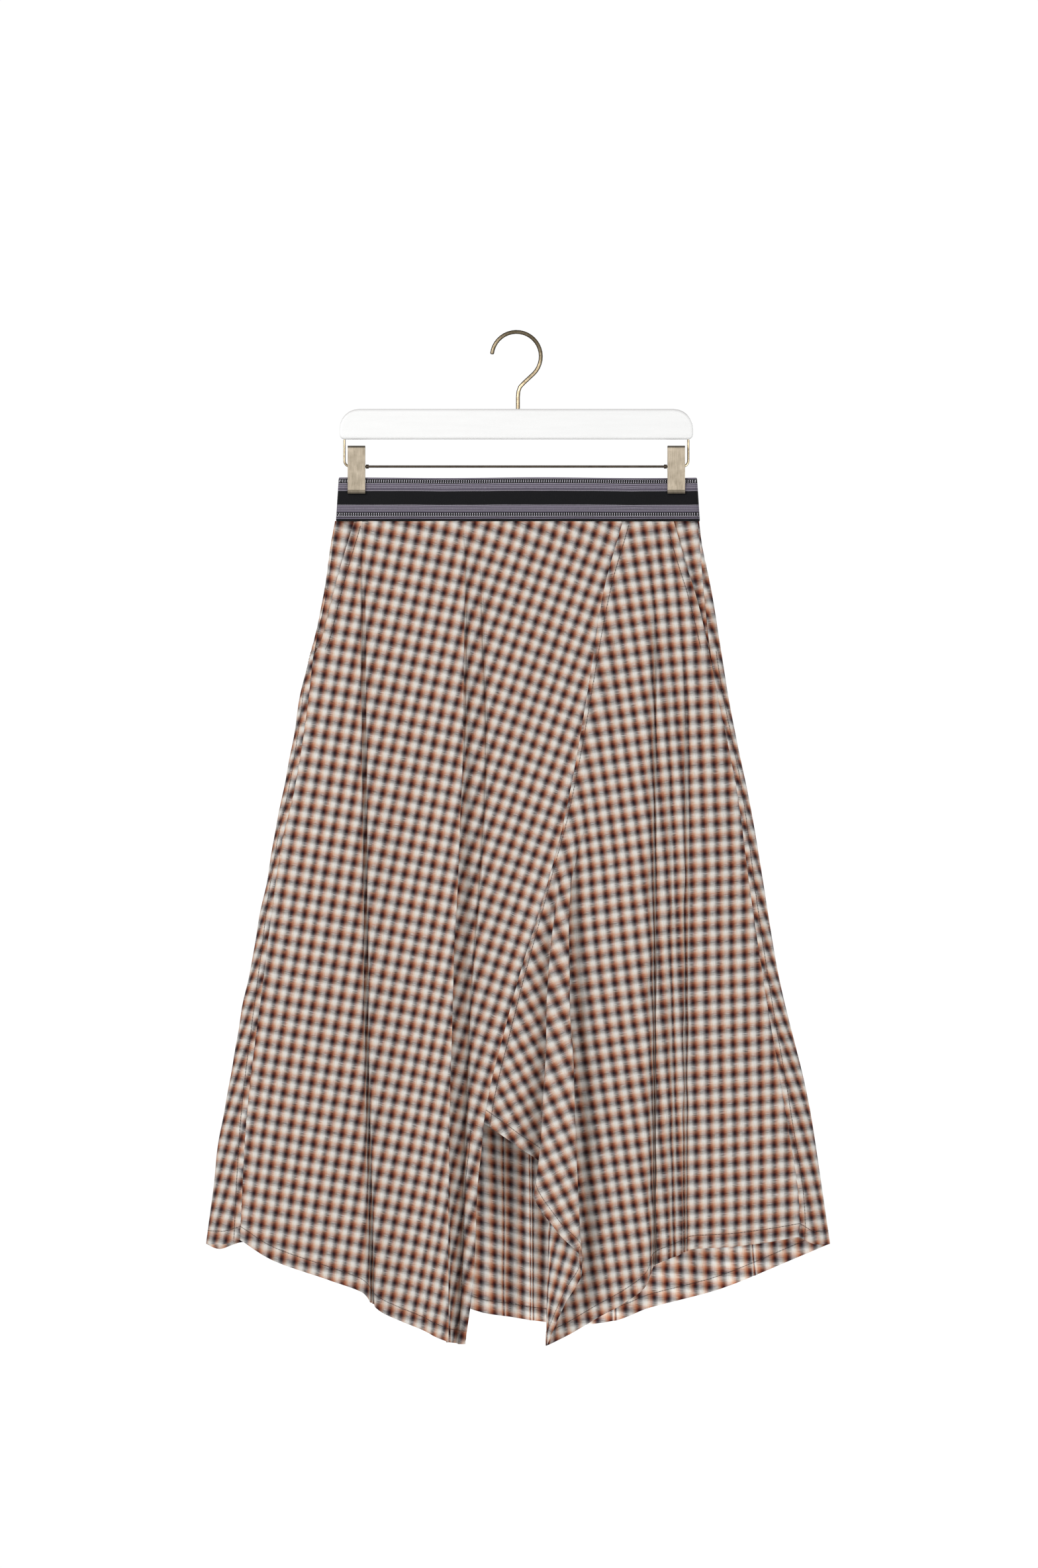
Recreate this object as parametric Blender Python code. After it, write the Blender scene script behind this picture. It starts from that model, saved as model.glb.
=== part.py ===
"""Asymmetric skirt on a clip hanger, in metres, +Z up, front towards -Y.

The origin is the inside top of the hanger's hook. The cloth is a wall of even thickness
through key lines that run down from the waist seam to the hem, one for each fold.
"""

import math

import bmesh
import bpy
import numpy as np

MM = 0.001

# Sizes of the hanger in millimetres. A drop is a depth below the hook's inside top.
WIRE_RADIUS = 2.0
RING_RADIUS = 24.9
RING_DROP = RING_RADIUS - WIRE_RADIUS
TIP_ANGLE = 173
SHANK_ANGLE = -45
SHANK_BENDS = ((7.6, 49.8), (3.8, 53.9), (2.1, 58.4), (1.6, 64.5))
SHANK_X = 1.6
BAR_HALF = 180.0
BAR_TOP = 76.5
BAR_BOTTOM = 107.3
BAR_DEPTH = 14.0
BAR_CORNER = 20.0
BAR_FOOT_CORNER = 5.0
BAR_EDGE = 2.5
ROD_RADIUS = 1.2
ROD_DROP = 135.0
COLLAR_RADIUS = 2.1
COLLAR_WIDTH = 3.0
STUB_X = 175.0
STUB_BEND = 6.0
CLIP_X = 162.7
CLIP_WIDTH = 17.8
CLIP_SHEET = 1.0
SEAT = 0.3

# Clip jaw sections: drop, how far its face stands from the middle, how far it reaches inward.
JAW_SECTIONS = (
    (114.0, 6.9, 2.6),
    (116.0, 6.6, 2.6),
    (125.0, 6.2, 3.4),
    (129.0, 6.0, 4.5),
    (141.0, 5.4, 3.9),
    (146.0, 5.1, 2.0),
    (156.0, 4.2, 1.2),
    (158.5, 4.1, 1.2),
    (159.5, 4.8, 1.9),
    (162.7, 4.8, 1.9),
)

# Sizes of the skirt in millimetres.
CLOTH = 1.2
SEAM_INSET = 0.3
BAND_THICK = 2.0
BAND_TOP = 147.0
BAND_BOTTOM = 190.0
BAND_CENTRE = 1.6
BAND_HALF_TOP = 182.4
BAND_HALF_BOTTOM = 185.3
BAND_OPEN = 5.0
BAND_GRIPPED = 1.6
GRIP_WIDTH = 20.0
GRIP_DROP = 163.0
WAIST = 190.4
HEM_FREE = 1026.0
SLIT_TOP = 802.0
SEAM_ROWS = 15
FREE_ROWS = 5
POCKET_FOOT = 326.0
POCKET_UNDERLAP = 12.0
POCKET_BEHIND = 1.9

# Side outlines as seen from the front: drop, left x, right x.
OUTLINE = (
    (190.4, -184.0, 185.5),
    (212, -188, 188),
    (262, -195, 198.5),
    (321, -208, 208.6),
    (371, -220, 216.5),
    (422, -229, 226),
    (469, -238, 235.5),
    (567, -256, 252.5),
    (649, -271.5, 267),
    (784, -296, 297),
    (863, -308, 309.5),
    (926, -315.5, 319.5),
)

# Side seams on the front: drop, x, how far forward of the middle.
LEFT_SEAM = (
    (190.4, -183.2, 0.9),
    (215, -187.3, 1.6),
    (262, -193.8, 3.2),
    (305, -203, 4.6),
    (331, -207, 5.2),
    (376, -212, 6.0),
    (465, -226, 7.0),
    (518, -238.5, 7.8),
    (647, -256, 9.5),
    (808, -275, 12.5),
    (921, -281, 14.0),
)
RIGHT_SEAM = (
    (190.4, 184.7, 0.9),
    (215, 187, 1.6),
    (263, 191, 3.2),
    (288, 193.5, 4.2),
    (321, 197, 5.2),
    (353, 202, 5.8),
    (469, 225, 7.0),
    (568, 238, 8.4),
    (673, 253.7, 10.0),
    (787, 273, 12.2),
    (901, 288, 14.0),
    (918, 287.5, 14.2),
)
DIAGONAL_SEAM = (
    (190.4, 108.4, 4.5),
    (262, 88.8, 8.0),
    (342, 76, 11.5),
    (449, 58, 15.5),
    (509, 45.5, 17.2),
    (589, 23, 19.8),
    (645, 5.4, 21.5),
    (712, -12.8, 23.5),
    (768, -27, 25.0),
    (802, -33, 26.0),
)
FREE_EDGE = ((829, -35.4, 26.6), (867, -39.5, 27.6), (954, -42.9, 29.4), (1026, -52, 31.0))

# Slanting pocket mouths: drop, x, forward.
LEFT_MOUTH = ((190.4, -165, 3.2), (248, -182, 4.6), (275, -189, 5.2), (312, -198.5, 5.9))
RIGHT_MOUTH = ((190.4, 160, 3.2), (234.5, 172.6, 4.4), (263, 181.7, 5.0), (302, 191.5, 5.8))

# Key lines of the left front panel, from the pocket side to the diagonal seam.
# Each row is a name and its points: drop, x, forward.
LEFT_LINES = (
    ("side_flare", ((190.4, -162.5, 3.4), (300, -180, 7.5), (420, -197, 10),
                    (560, -219, 15), (700, -236, 20), (941, -248, 25))),
    ("left_swell", ((190.4, -160, 3.6), (300, -168, 9), (420, -175, 13),
                    (560, -186, 20), (700, -191, 26), (961, -190, 33))),
    ("pinch_left", ((190.4, -158, 4.0), (300, -159.5, 10), (536, -158, 21),
                    (700, -158, 27), (975, -154, 34))),
    ("pinch_valley", ((190.4, -155.5, 3.0), (300, -155.5, 6.5), (536, -153.5, 14),
                      (700, -152, 19), (985, -146, 25))),
    ("pinch_right", ((190.4, -152.5, 4.0), (300, -151, 9.5), (536, -148, 19.5),
                     (700, -146, 25), (992, -139, 32))),
    ("left_middle", ((190.4, -125, 4.6), (300, -127, 9), (560, -124, 18),
                     (700, -119, 22), (1003, -117, 27))),
    ("before_fold", ((190.4, -92, 5.0), (300, -93, 10), (560, -93, 20),
                     (700, -94, 26), (1012, -94, 32))),
    ("fold_shoulder", ((190.4, -70, 5.2), (300, -65, 12), (560, -70, 24),
                       (700, -76, 33), (1019, -80, 40))),
    ("fold_ridge", ((190.4, -58, 5.4), (233, -53, 9.5), (401, -54, 18), (502, -57, 24),
                    (658, -64, 34), (747, -66.5, 38), (886, -69, 43), (1023, -69, 46))),
    ("fold_under", ((190.4, -54, 5.0), (233, -50, 7), (401, -52, 12), (502, -58, 15.5),
                    (658, -67, 21), (747, -69, 24), (886, -69, 29), (1024, -68, 33))),
    ("recess", ((190.4, -40, 4.9), (300, -38, 8), (420, -34, 11.5), (560, -40, 15),
                (700, -50, 19), (802, -54, 22), (1025, -62, 28))),
    ("upper_crease", ((190.4, -14, 5.0), (300, -8, 9.5), (420, -10, 13.5), (560, -22, 18),
                      (700, -39, 22), (802, -47, 24.5), (1026, -58.5, 30))),
    ("upper_middle", ((190.4, 40, 5.0), (300, 28, 9.5), (420, 20, 13), (560, 3, 17),
                      (700, -25, 22), (802, -40.5, 25), (1026, -55, 31))),
)

# Key lines of the right front panel, from the diagonal seam to the pocket side.
RIGHT_LINES = (
    ("under_drape", ((190.4, 110.5, 4.4), (300, 87, 10), (420, 67.5, 14), (500, 51.5, 16.8),
                     (560, 35.5, 19), (625, 22, 22), (691, 12, 24), (759, 4, 25.5), (825, 0, 26))),
    ("drape_valley", ((190.4, 112.2, 4.4), (300, 89.2, 10), (420, 70.2, 14), (500, 54.2, 16.8),
                      (560, 39.5, 18.8), (625, 33.5, 20.5), (691, 34, 21), (759, 33, 21.5),
                      (849, 29.5, 21))),
    ("drape_valley_turn", ((190.4, 113.5, 4.4), (300, 90.8, 10), (420, 72, 14.1), (500, 55.8, 17.1),
                           (560, 42, 20), (625, 35.6, 23.6), (691, 35.4, 25.5), (759, 34.4, 27),
                           (860, 29.5, 27.5))),
    ("drape_ridge", ((190.4, 115, 4.4), (300, 92.4, 10), (420, 74, 14.2), (500, 57.6, 17.6),
                     (560, 44.2, 22), (625, 35.4, 29.2), (691, 31, 35), (759, 28.7, 40),
                     (817, 25, 43.5), (875, 18, 46.5))),
    ("drape_front", ((190.4, 116.8, 4.4), (300, 94.7, 10.2), (420, 76.7, 14.5), (500, 60, 18.2),
                     (560, 48.5, 24), (625, 44, 32.5), (691, 42.5, 39), (817, 43, 48), (913, 43, 52))),
    ("drape_turn", ((190.4, 118.5, 4.4), (300, 97, 10.4), (420, 79.5, 15), (500, 62.5, 18.8),
                    (560, 55, 25.2), (603, 53.3, 30.5), (669, 53.8, 37.5), (759, 58.5, 44.8),
                    (817, 60.5, 48.3), (920, 65.5, 53.5), (940, 66.8, 54.5))),
    ("drape_turn_under", ((190.4, 120.2, 4.4), (300, 98.6, 10.3), (420, 81.6, 14.7),
                          (500, 64.8, 18.4), (560, 56.6, 23), (603, 54.6, 26.8), (669, 54.8, 32.8),
                          (759, 59.2, 39.4), (817, 61, 43), (920, 66, 48.5), (953, 66.4, 50))),
    ("drape_back", ((190.4, 122, 4.4), (300, 100.5, 10.2), (420, 83.8, 14.3), (500, 67, 17.7),
                    (560, 57.2, 20.6), (625, 50, 24.4), (691, 47.5, 29), (817, 49, 36),
                    (985, 49, 46))),
    ("drape_fold", ((190.4, 123.8, 4.4), (300, 102.6, 10), (420, 86.3, 13.8), (500, 70, 16.5),
                    (560, 57, 18), (625, 46.5, 20.5), (691, 41, 23.5), (817, 37, 29),
                    (902, 34, 33.5), (1027, 31, 39))),
    ("drape_edge", ((190.4, 126, 4.4), (300, 106.4, 9.8), (420, 91, 13.2), (500, 76, 15.5),
                    (560, 66, 16.5), (625, 61, 17.5), (691, 58, 19.5), (817, 54, 24),
                    (902, 52.5, 28), (1017, 52, 32.5))),
    ("drape_swell", ((190.4, 128, 4.3), (300, 113, 9.8), (420, 101, 13), (500, 92, 15.4),
                     (600, 87, 18), (817, 82.5, 24), (1000, 81, 32))),
    ("mild_fold", ((190.4, 131, 4.3), (300, 121, 10.5), (420, 114, 15), (560, 108.5, 19.5),
                   (817, 108, 28), (985, 108, 34))),
    ("press_ridge", ((190.4, 135, 4.3), (300, 134, 12), (420, 132, 17), (560, 131, 23),
                     (817, 130.5, 33), (967, 131, 38))),
    ("press_valley", ((190.4, 139, 3.7), (300, 141.5, 7.5), (420, 141, 11), (560, 140.5, 15),
                      (817, 140, 22), (947, 140, 26))),
    ("second_ridge", ((190.4, 142.5, 3.9), (300, 149, 10), (420, 149.5, 14), (560, 150, 19),
                      (817, 150, 28), (941, 151, 32))),
    ("second_valley", ((190.4, 145.5, 3.5), (300, 157, 7.5), (420, 158, 10.5), (560, 159, 14.5),
                       (817, 160, 20.5), (938, 160, 24))),
    ("crease_left", ((190.4, 148.5, 3.5), (300, 165, 8.5), (420, 168, 11.8), (560, 168, 16),
                     (817, 167, 23), (935, 166.5, 27))),
    ("crease_valley", ((190.4, 151, 3.3), (300, 169.5, 6.5), (420, 173.5, 8.5), (560, 173, 12),
                       (817, 171.5, 18.5), (933, 171, 22))),
    ("crease_right", ((190.4, 153.3, 3.5), (300, 174, 7.8), (420, 179, 11), (560, 179.5, 15),
                      (817, 178.5, 22.5), (930, 178, 26))),
    ("right_swell", ((190.4, 155.6, 3.4), (300, 180.5, 7.4), (420, 195, 10.5), (560, 204, 14.5),
                     (700, 209, 18.5), (928, 215, 24))),
    ("right_flare", ((190.4, 157.8, 3.3), (300, 186.2, 6.8), (420, 206, 8.6), (560, 222, 11.4),
                     (700, 234.5, 14.8), (924, 251, 19))),
)

# Folds of the back from the right side to the left: share of the width, hem drop, depth at hem.
BACK_FOLDS = (
    (0.930, 946, 26),
    (0.880, 960, 35),
    (0.820, 974, 25),
    (0.765, 984, 34),
    (0.712, 992, 25),
    (0.655, 1006, 35),
    (0.597, 1010, 26),
    (0.553, 1008, 34),
    (0.522, 1005, 24),
    (0.486, 1002, 34),
    (0.448, 998, 25),
    (0.390, 986, 34),
    (0.330, 973, 26),
    (0.265, 959, 35),
    (0.195, 946, 25),
    (0.125, 934, 33),
    (0.060, 925, 23),
)
BACK_WAIST = 4.6
# How much lower the back's hem is just behind each side than at the side itself.
BEHIND_FALL = 6.0

WHITE_PAINT = ((0.90, 0.90, 0.89), 0.45, 0.0)
ANTIQUE_BRASS = ((0.44, 0.36, 0.24), 0.35, 1.0)
BAND_STRIPE = ((0.16, 0.15, 0.18), 0.85, 0.0)
CHECK_CLOTH = ((0.48, 0.38, 0.33), 0.85, 0.0)


def clear_scene():
    for old in list(bpy.data.objects):
        bpy.data.objects.remove(old, do_unlink=True)


def add_object(name, shape, finish, round_above=None):
    """Keep a finished bmesh as a named object with its own material."""
    bmesh.ops.recalc_face_normals(shape, faces=shape.faces)
    mesh = bpy.data.meshes.new(name)
    shape.to_mesh(mesh)
    shape.free()
    if round_above is not None:
        mesh.shade_smooth()
        mesh.set_sharp_from_angle(angle=math.radians(round_above))
    colour, roughness, metallic = finish
    material = bpy.data.materials.new(name)
    material.use_nodes = True
    surface = material.node_tree.nodes["Principled BSDF"]
    surface.inputs["Base Color"].default_value = (*colour, 1)
    surface.inputs["Roughness"].default_value = roughness
    surface.inputs["Metallic"].default_value = metallic
    mesh.materials.append(material)
    made = bpy.data.objects.new(name, mesh)
    bpy.context.scene.collection.objects.link(made)
    return made


def smooth(knots, values, at):
    """Values on a curve that meets every knot, turns softly and never overshoots one."""
    knots = np.asarray(knots, float)
    values = np.asarray(values, float)
    if values.ndim == 1:
        return smooth(knots, values[:, None], at)[..., 0]
    width = np.diff(knots)[:, None]
    rise = np.diff(values, axis=0) / width
    both = rise[:-1] * rise[1:]
    total = rise[:-1] + rise[1:]
    safe = np.where(both > 0, total, 1.0)
    slope = np.vstack([rise[:1], np.where(both > 0, 2 * both / safe, 0.0), rise[-1:]])
    at = np.clip(np.atleast_1d(np.asarray(at, float)), knots[0], knots[-1])
    part = np.clip(np.searchsorted(knots, at, side="right") - 1, 0, len(knots) - 2)
    long = width[part]
    t = ((at - knots[part]) / width[part, 0])[:, None]
    start = (2 * t**3 - 3 * t**2 + 1) * values[part] + (t**3 - 2 * t**2 + t) * long * slope[part]
    end = (3 * t**2 - 2 * t**3) * values[part + 1] + (t**3 - t**2) * long * slope[part + 1]
    return start + end


def line_points(line, rows):
    """Points down one key line: x, y and z in millimetres at each share of its length."""
    line = np.asarray(line, float)
    drop = line[0, 0] + (line[-1, 0] - line[0, 0]) * np.asarray(rows)
    place = smooth(line[:, 0], line[:, 1:], drop)
    return np.column_stack([place[:, 0], -place[:, 1], -drop])


def cloth_grid(lines, rows, widest):
    """Rows of points across a panel, softly curved from each key line to the next."""
    keys = np.array([line_points(line, rows) for line in lines])
    hem = np.linalg.norm(np.diff(keys[:, -1], axis=0), axis=1)
    pieces = np.maximum(1, np.ceil(hem / widest).astype(int))
    shares = np.concatenate([k + np.arange(n) / n for k, n in enumerate(pieces)] + [[len(lines) - 1]])
    grid = []
    for row in range(len(rows)):
        chord = np.linalg.norm(np.diff(keys[:, row], axis=0), axis=1)
        knots = np.concatenate([[0], np.cumsum(np.sqrt(chord))])
        at = np.interp(shares, np.arange(len(knots)), knots)
        grid.append(smooth(knots, keys[:, row], at))
    return np.array(grid)


def unit(vectors):
    return vectors / np.maximum(np.linalg.norm(vectors, axis=-1, keepdims=True), 1e-9)


def cloth_normals(grid, first_edge=None, last_edge=None):
    """Outward directions of a panel. A seam's turn from the front to the side by the angles
    given for its top and for all that is below the pockets."""
    down = np.gradient(grid, axis=0)
    across = np.gradient(grid, axis=1)
    normals = unit(np.cross(down, across))
    high = np.clip((grid[:, 0, 2] + POCKET_FOOT) / (POCKET_FOOT - WAIST), 0, 1)
    for column, angles in ((0, first_edge), (-1, last_edge)):
        if angles is not None:
            turn = np.radians(angles[1] + (angles[0] - angles[1]) * high)
            normals[:, column] = np.column_stack([np.sin(turn), -np.cos(turn), 0 * turn])
    return normals


def inset_sides(grid):
    """Draw both side edges in, so that panels meet at a seam with a hair's gap."""
    grid = grid.copy()
    for edge, inner in ((0, 1), (-1, -2)):
        grid[:, edge] += SEAM_INSET * unit(grid[:, inner] - grid[:, edge])
    return grid


def wall(name, grid, normals, thickness, finish, closed=False):
    """A closed wall of even thickness round a grid of points."""
    rows, columns = grid.shape[:2]
    shape = bmesh.new()
    sides = []
    for way in (0.5, -0.5):
        points = (grid + normals * thickness * way) * MM
        sides.append([[shape.verts.new(p) for p in row] for row in points])
    outer, inner = sides
    last = columns if closed else columns - 1
    for i in range(rows - 1):
        for j in range(last):
            k = (j + 1) % columns
            shape.faces.new((outer[i][j], outer[i + 1][j], outer[i + 1][k], outer[i][k]))
            shape.faces.new((inner[i][j], inner[i][k], inner[i + 1][k], inner[i + 1][j]))
    for i in (0, rows - 1):
        for j in range(last):
            k = (j + 1) % columns
            shape.faces.new((outer[i][j], outer[i][k], inner[i][k], inner[i][j]))
    if not closed:
        for j in (0, columns - 1):
            for i in range(rows - 1):
                shape.faces.new((outer[i][j], outer[i + 1][j], inner[i + 1][j], inner[i][j]))
    bmesh.ops.triangulate(shape, faces=shape.faces)
    return add_object(name, shape, finish, round_above=50)


def panel_rows():
    """Shares of the height where the left panel's rows meet the right panel's at their seam."""
    seam = np.linspace(WAIST, SLIT_TOP, SEAM_ROWS + 1)
    free = np.linspace(SLIT_TOP, HEM_FREE, FREE_ROWS + 1)[1:]
    return (np.concatenate([seam, free]) - WAIST) / (HEM_FREE - WAIST)


def below(line, drop):
    return tuple(point for point in line if point[0] > drop)


def front_left_panel():
    side = LEFT_MOUTH + below(LEFT_SEAM, POCKET_FOOT)
    lines = [side] + [line for name, line in LEFT_LINES] + [DIAGONAL_SEAM + FREE_EDGE]
    grid = inset_sides(cloth_grid(lines, panel_rows(), widest=24))
    normals = cloth_normals(grid, first_edge=(-5, -25), last_edge=(0, 0))
    wall("front_left_panel", grid, normals, CLOTH, CHECK_CLOTH)


def front_right_panel():
    side = RIGHT_MOUTH + below(RIGHT_SEAM, POCKET_FOOT)
    lines = [DIAGONAL_SEAM] + [line for name, line in RIGHT_LINES] + [side]
    rows = np.linspace(0, 1, SEAM_ROWS + 1)
    grid = inset_sides(cloth_grid(lines, rows, widest=20))
    normals = cloth_normals(grid, first_edge=(0, 0), last_edge=(5, 25))
    wall("front_right_panel", grid, normals, CLOTH, CHECK_CLOTH)


def side_lines(column, seam, turn):
    """Key lines round one side, from the front seam past the outline to the back."""
    drops = [row[0] for row in OUTLINE]
    outline = [row[column] for row in OUTLINE]
    share = np.linspace(0, 1, len(OUTLINE))
    rim = [(d, x, -1.0 - 3 * s) for d, x, s in zip(drops, outline, share)]
    seam_x = smooth([p[0] for p in seam], [p[1] for p in seam], drops)
    seam_y = smooth([p[0] for p in seam], [p[2] for p in seam], drops)
    wrap = [
        (d, 0.45 * sx + 0.55 * x + turn * 0.1, 0.7 * sy - 0.45)
        for d, x, sx, sy in zip(drops, outline, seam_x, seam_y)
    ]
    behind = [
        (d + BEHIND_FALL * s, x - turn * (1.6 + 11 * s), -3.2 - 15 * s)
        for d, x, s in zip(drops, outline, share)
    ]
    return wrap, rim, behind


def back_lines():
    drops = [row[0] for row in OUTLINE]
    lines = []
    for share, hem, depth in BACK_FOLDS:
        line = []
        for at in np.linspace(0, 1, 8):
            drop = WAIST + (hem - WAIST) * at
            ends = smooth(drops, [row[1:] for row in OUTLINE], min(drop, drops[-1]))[0]
            x = ends[0] + (ends[1] - ends[0]) * share
            line.append((drop, x, -BACK_WAIST - (depth - BACK_WAIST) * at**0.85))
        lines.append(line)
    return lines


def back_panel():
    right = side_lines(2, RIGHT_SEAM, turn=1)
    left = side_lines(1, LEFT_SEAM, turn=-1)
    lines = [RIGHT_SEAM, *right, *back_lines(), *reversed(left), LEFT_SEAM]
    grid = inset_sides(cloth_grid(lines, panel_rows(), widest=32))
    normals = cloth_normals(grid, first_edge=(68, 25), last_edge=(-68, -25))
    wall("back_panel", grid, normals, CLOTH, CHECK_CLOTH)


def pocket_backing(name, mouth, seam, turn):
    """The cloth that shows in a slanting pocket, from under the mouth to the side seam."""
    drops = np.linspace(WAIST, POCKET_FOOT, 7)
    at_mouth = smooth([p[0] for p in mouth], [p[1:] for p in mouth], drops)
    at_seam = smooth([p[0] for p in seam], [p[1:] for p in seam], drops)
    behind = np.linspace(0.3, POCKET_BEHIND, len(drops))
    under = [(d, m[0] - turn * POCKET_UNDERLAP, m[1] - POCKET_BEHIND) for d, m in zip(drops, at_mouth)]
    middle = [(d, m[0], m[1] - POCKET_BEHIND) for d, m in zip(drops, at_mouth)]
    outside = [(d, s[0] - turn * 0.4, s[1] - b) for d, s, b in zip(drops, at_seam, behind)]
    lines = [under, middle, outside] if turn > 0 else [outside, middle, under]
    grid = inset_sides(cloth_grid(lines, np.linspace(0, 1, len(drops)), widest=12))
    wall(name, grid, cloth_normals(grid), CLOTH, CHECK_CLOTH)


def band_half_depth(x, drop):
    """How far the band stands from the middle: least where a clip grips it."""
    beside = [max(0.0, abs(x - side * CLIP_X) - CLIP_WIDTH / 2 - 1) for side in (-1, 1)]
    held = sum(math.exp(-((gap / GRIP_WIDTH) ** 2)) for gap in beside)
    grip = min(1.0, max(0.0, (BAND_BOTTOM - drop) / (BAND_BOTTOM - GRIP_DROP)))
    held_share = min(1.0, held) * (0.35 + 0.65 * grip)
    return BAND_OPEN + (BAND_GRIPPED - BAND_OPEN) * held_share


def band_ring(drop, half):
    """Points round the flat loop of the waistband at one height."""
    turns = [math.radians(a) for a in (-60, -30, 0, 30, 60)]
    run = np.linspace(-1, 1, 25)
    points = []
    for side in (1, -1):
        end_x = BAND_CENTRE + side * half
        radius = band_half_depth(end_x - side * BAND_GRIPPED, drop)
        for share in run:
            x = BAND_CENTRE + side * share * (half - radius)
            points.append((x, -side * band_half_depth(x, drop), -drop))
        for turn in turns:
            x = end_x - side * radius * (1 - math.cos(turn))
            points.append((x, side * radius * math.sin(turn), -drop))
    return points


def waistband():
    drops = (BAND_TOP, GRIP_DROP, 176.0, BAND_BOTTOM)
    rings = []
    for drop in drops:
        share = (drop - BAND_TOP) / (BAND_BOTTOM - BAND_TOP)
        half = BAND_HALF_TOP + (BAND_HALF_BOTTOM - BAND_HALF_TOP) * share - BAND_THICK / 2
        rings.append(band_ring(drop, half))
    grid = np.array(rings)
    ahead = np.roll(grid, -1, axis=1) - np.roll(grid, 1, axis=1)
    normals = unit(np.cross((0, 0, -1), ahead))
    wall("waistband", grid, normals, BAND_THICK, BAND_STRIPE, closed=True)


def wire(name, path, radii, finish, sides=12):
    """A round wire along a path in the plane y = 0, with a radius at each point."""
    path = np.asarray(path, float)
    along = unit(np.gradient(path, axis=0))
    beside = np.column_stack([along[:, 1], -along[:, 0]])
    shape = bmesh.new()
    rings = []
    for (x, z), (nx, nz), radius in zip(path, beside, radii):
        ring = []
        for k in range(sides):
            turn = 2 * math.pi * k / sides
            out, up = radius * math.cos(turn), radius * math.sin(turn)
            ring.append(shape.verts.new(((x + nx * out) * MM, up * MM, (z + nz * out) * MM)))
        rings.append(ring)
    for first, second in zip(rings, rings[1:]):
        for k in range(sides):
            m = (k + 1) % sides
            shape.faces.new((first[k], first[m], second[m], second[k]))
    shape.faces.new(rings[0])
    shape.faces.new(rings[-1])
    return add_object(name, shape, finish, round_above=50)


def hook():
    path, radii = [], []
    for angle in np.linspace(TIP_ANGLE, SHANK_ANGLE, 25):
        turn = math.radians(angle)
        path.append((RING_RADIUS * math.cos(turn), -RING_DROP + RING_RADIUS * math.sin(turn)))
        radii.append(WIRE_RADIUS)
    path += [(x, -drop) for x, drop in SHANK_BENDS]
    path.append((SHANK_X, -BAR_TOP + SEAT))
    radii += [WIRE_RADIUS] * (len(SHANK_BENDS) + 1)
    tip = math.radians(TIP_ANGLE)
    lead = (-math.sin(tip) * 0.9, math.cos(tip) * 0.9)
    path.insert(0, (path[0][0] + lead[0], path[0][1] + lead[1]))
    radii.insert(0, WIRE_RADIUS * 0.55)
    wire("hook", path, radii, ANTIQUE_BRASS)


def corner(x, z, radius, start, steps=6):
    turns = [math.radians(start + 90 * k / steps) for k in range(steps + 1)]
    return [(x + radius * math.cos(t), z + radius * math.sin(t)) for t in turns]


def hanger_bar():
    top, foot = BAR_HALF - BAR_CORNER, BAR_HALF - BAR_FOOT_CORNER
    outline = corner(top, -BAR_TOP - BAR_CORNER, BAR_CORNER, 0)
    outline += corner(-top, -BAR_TOP - BAR_CORNER, BAR_CORNER, 90)
    outline += corner(-foot, -BAR_BOTTOM + BAR_FOOT_CORNER, BAR_FOOT_CORNER, 180, steps=3)
    outline += corner(foot, -BAR_BOTTOM + BAR_FOOT_CORNER, BAR_FOOT_CORNER, 270, steps=3)
    shape = bmesh.new()
    face = shape.faces.new([shape.verts.new((x * MM, -BAR_DEPTH / 2 * MM, z * MM)) for x, z in outline])
    made = bmesh.ops.extrude_face_region(shape, geom=[face])
    moved = [part for part in made["geom"] if isinstance(part, bmesh.types.BMVert)]
    bmesh.ops.translate(shape, vec=(0, BAR_DEPTH * MM, 0), verts=moved)
    rims = [e for e in shape.edges if abs(e.verts[0].co.y - e.verts[1].co.y) < MM]
    bmesh.ops.bevel(shape, geom=rims, offset=BAR_EDGE * MM, segments=3, profile=0.5, affect="EDGES")
    add_object("hanger_bar", shape, WHITE_PAINT, round_above=40)


def wire_rod():
    reach = CLIP_X - SEAT / 2
    collar = CLIP_X - CLIP_WIDTH / 2 - 0.6
    stops = [-reach, -collar, -collar + 0.01, -collar + COLLAR_WIDTH, -collar + COLLAR_WIDTH + 0.01]
    stops += [-stop for stop in reversed(stops)]
    thin, thick = ROD_RADIUS, COLLAR_RADIUS
    radii = [thin, thin, thick, thick, thin, thin, thick, thick, thin, thin]
    wire("wire_rod", [(x, -ROD_DROP) for x in stops], radii, ANTIQUE_BRASS)


def wire_stub(name, side):
    path = [(side * STUB_X, -BAR_BOTTOM - SEAT), (side * STUB_X, -ROD_DROP + STUB_BEND + 3)]
    for angle in range(0, 91, 15):
        turn = math.radians(angle)
        x = STUB_X - STUB_BEND * (1 - math.cos(turn))
        path.append((side * x, -ROD_DROP + STUB_BEND * (1 - math.sin(turn))))
    path.append((side * (CLIP_X + SEAT / 2), -ROD_DROP))
    wire(name, path, [ROD_RADIUS] * len(path), ANTIQUE_BRASS)


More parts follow.
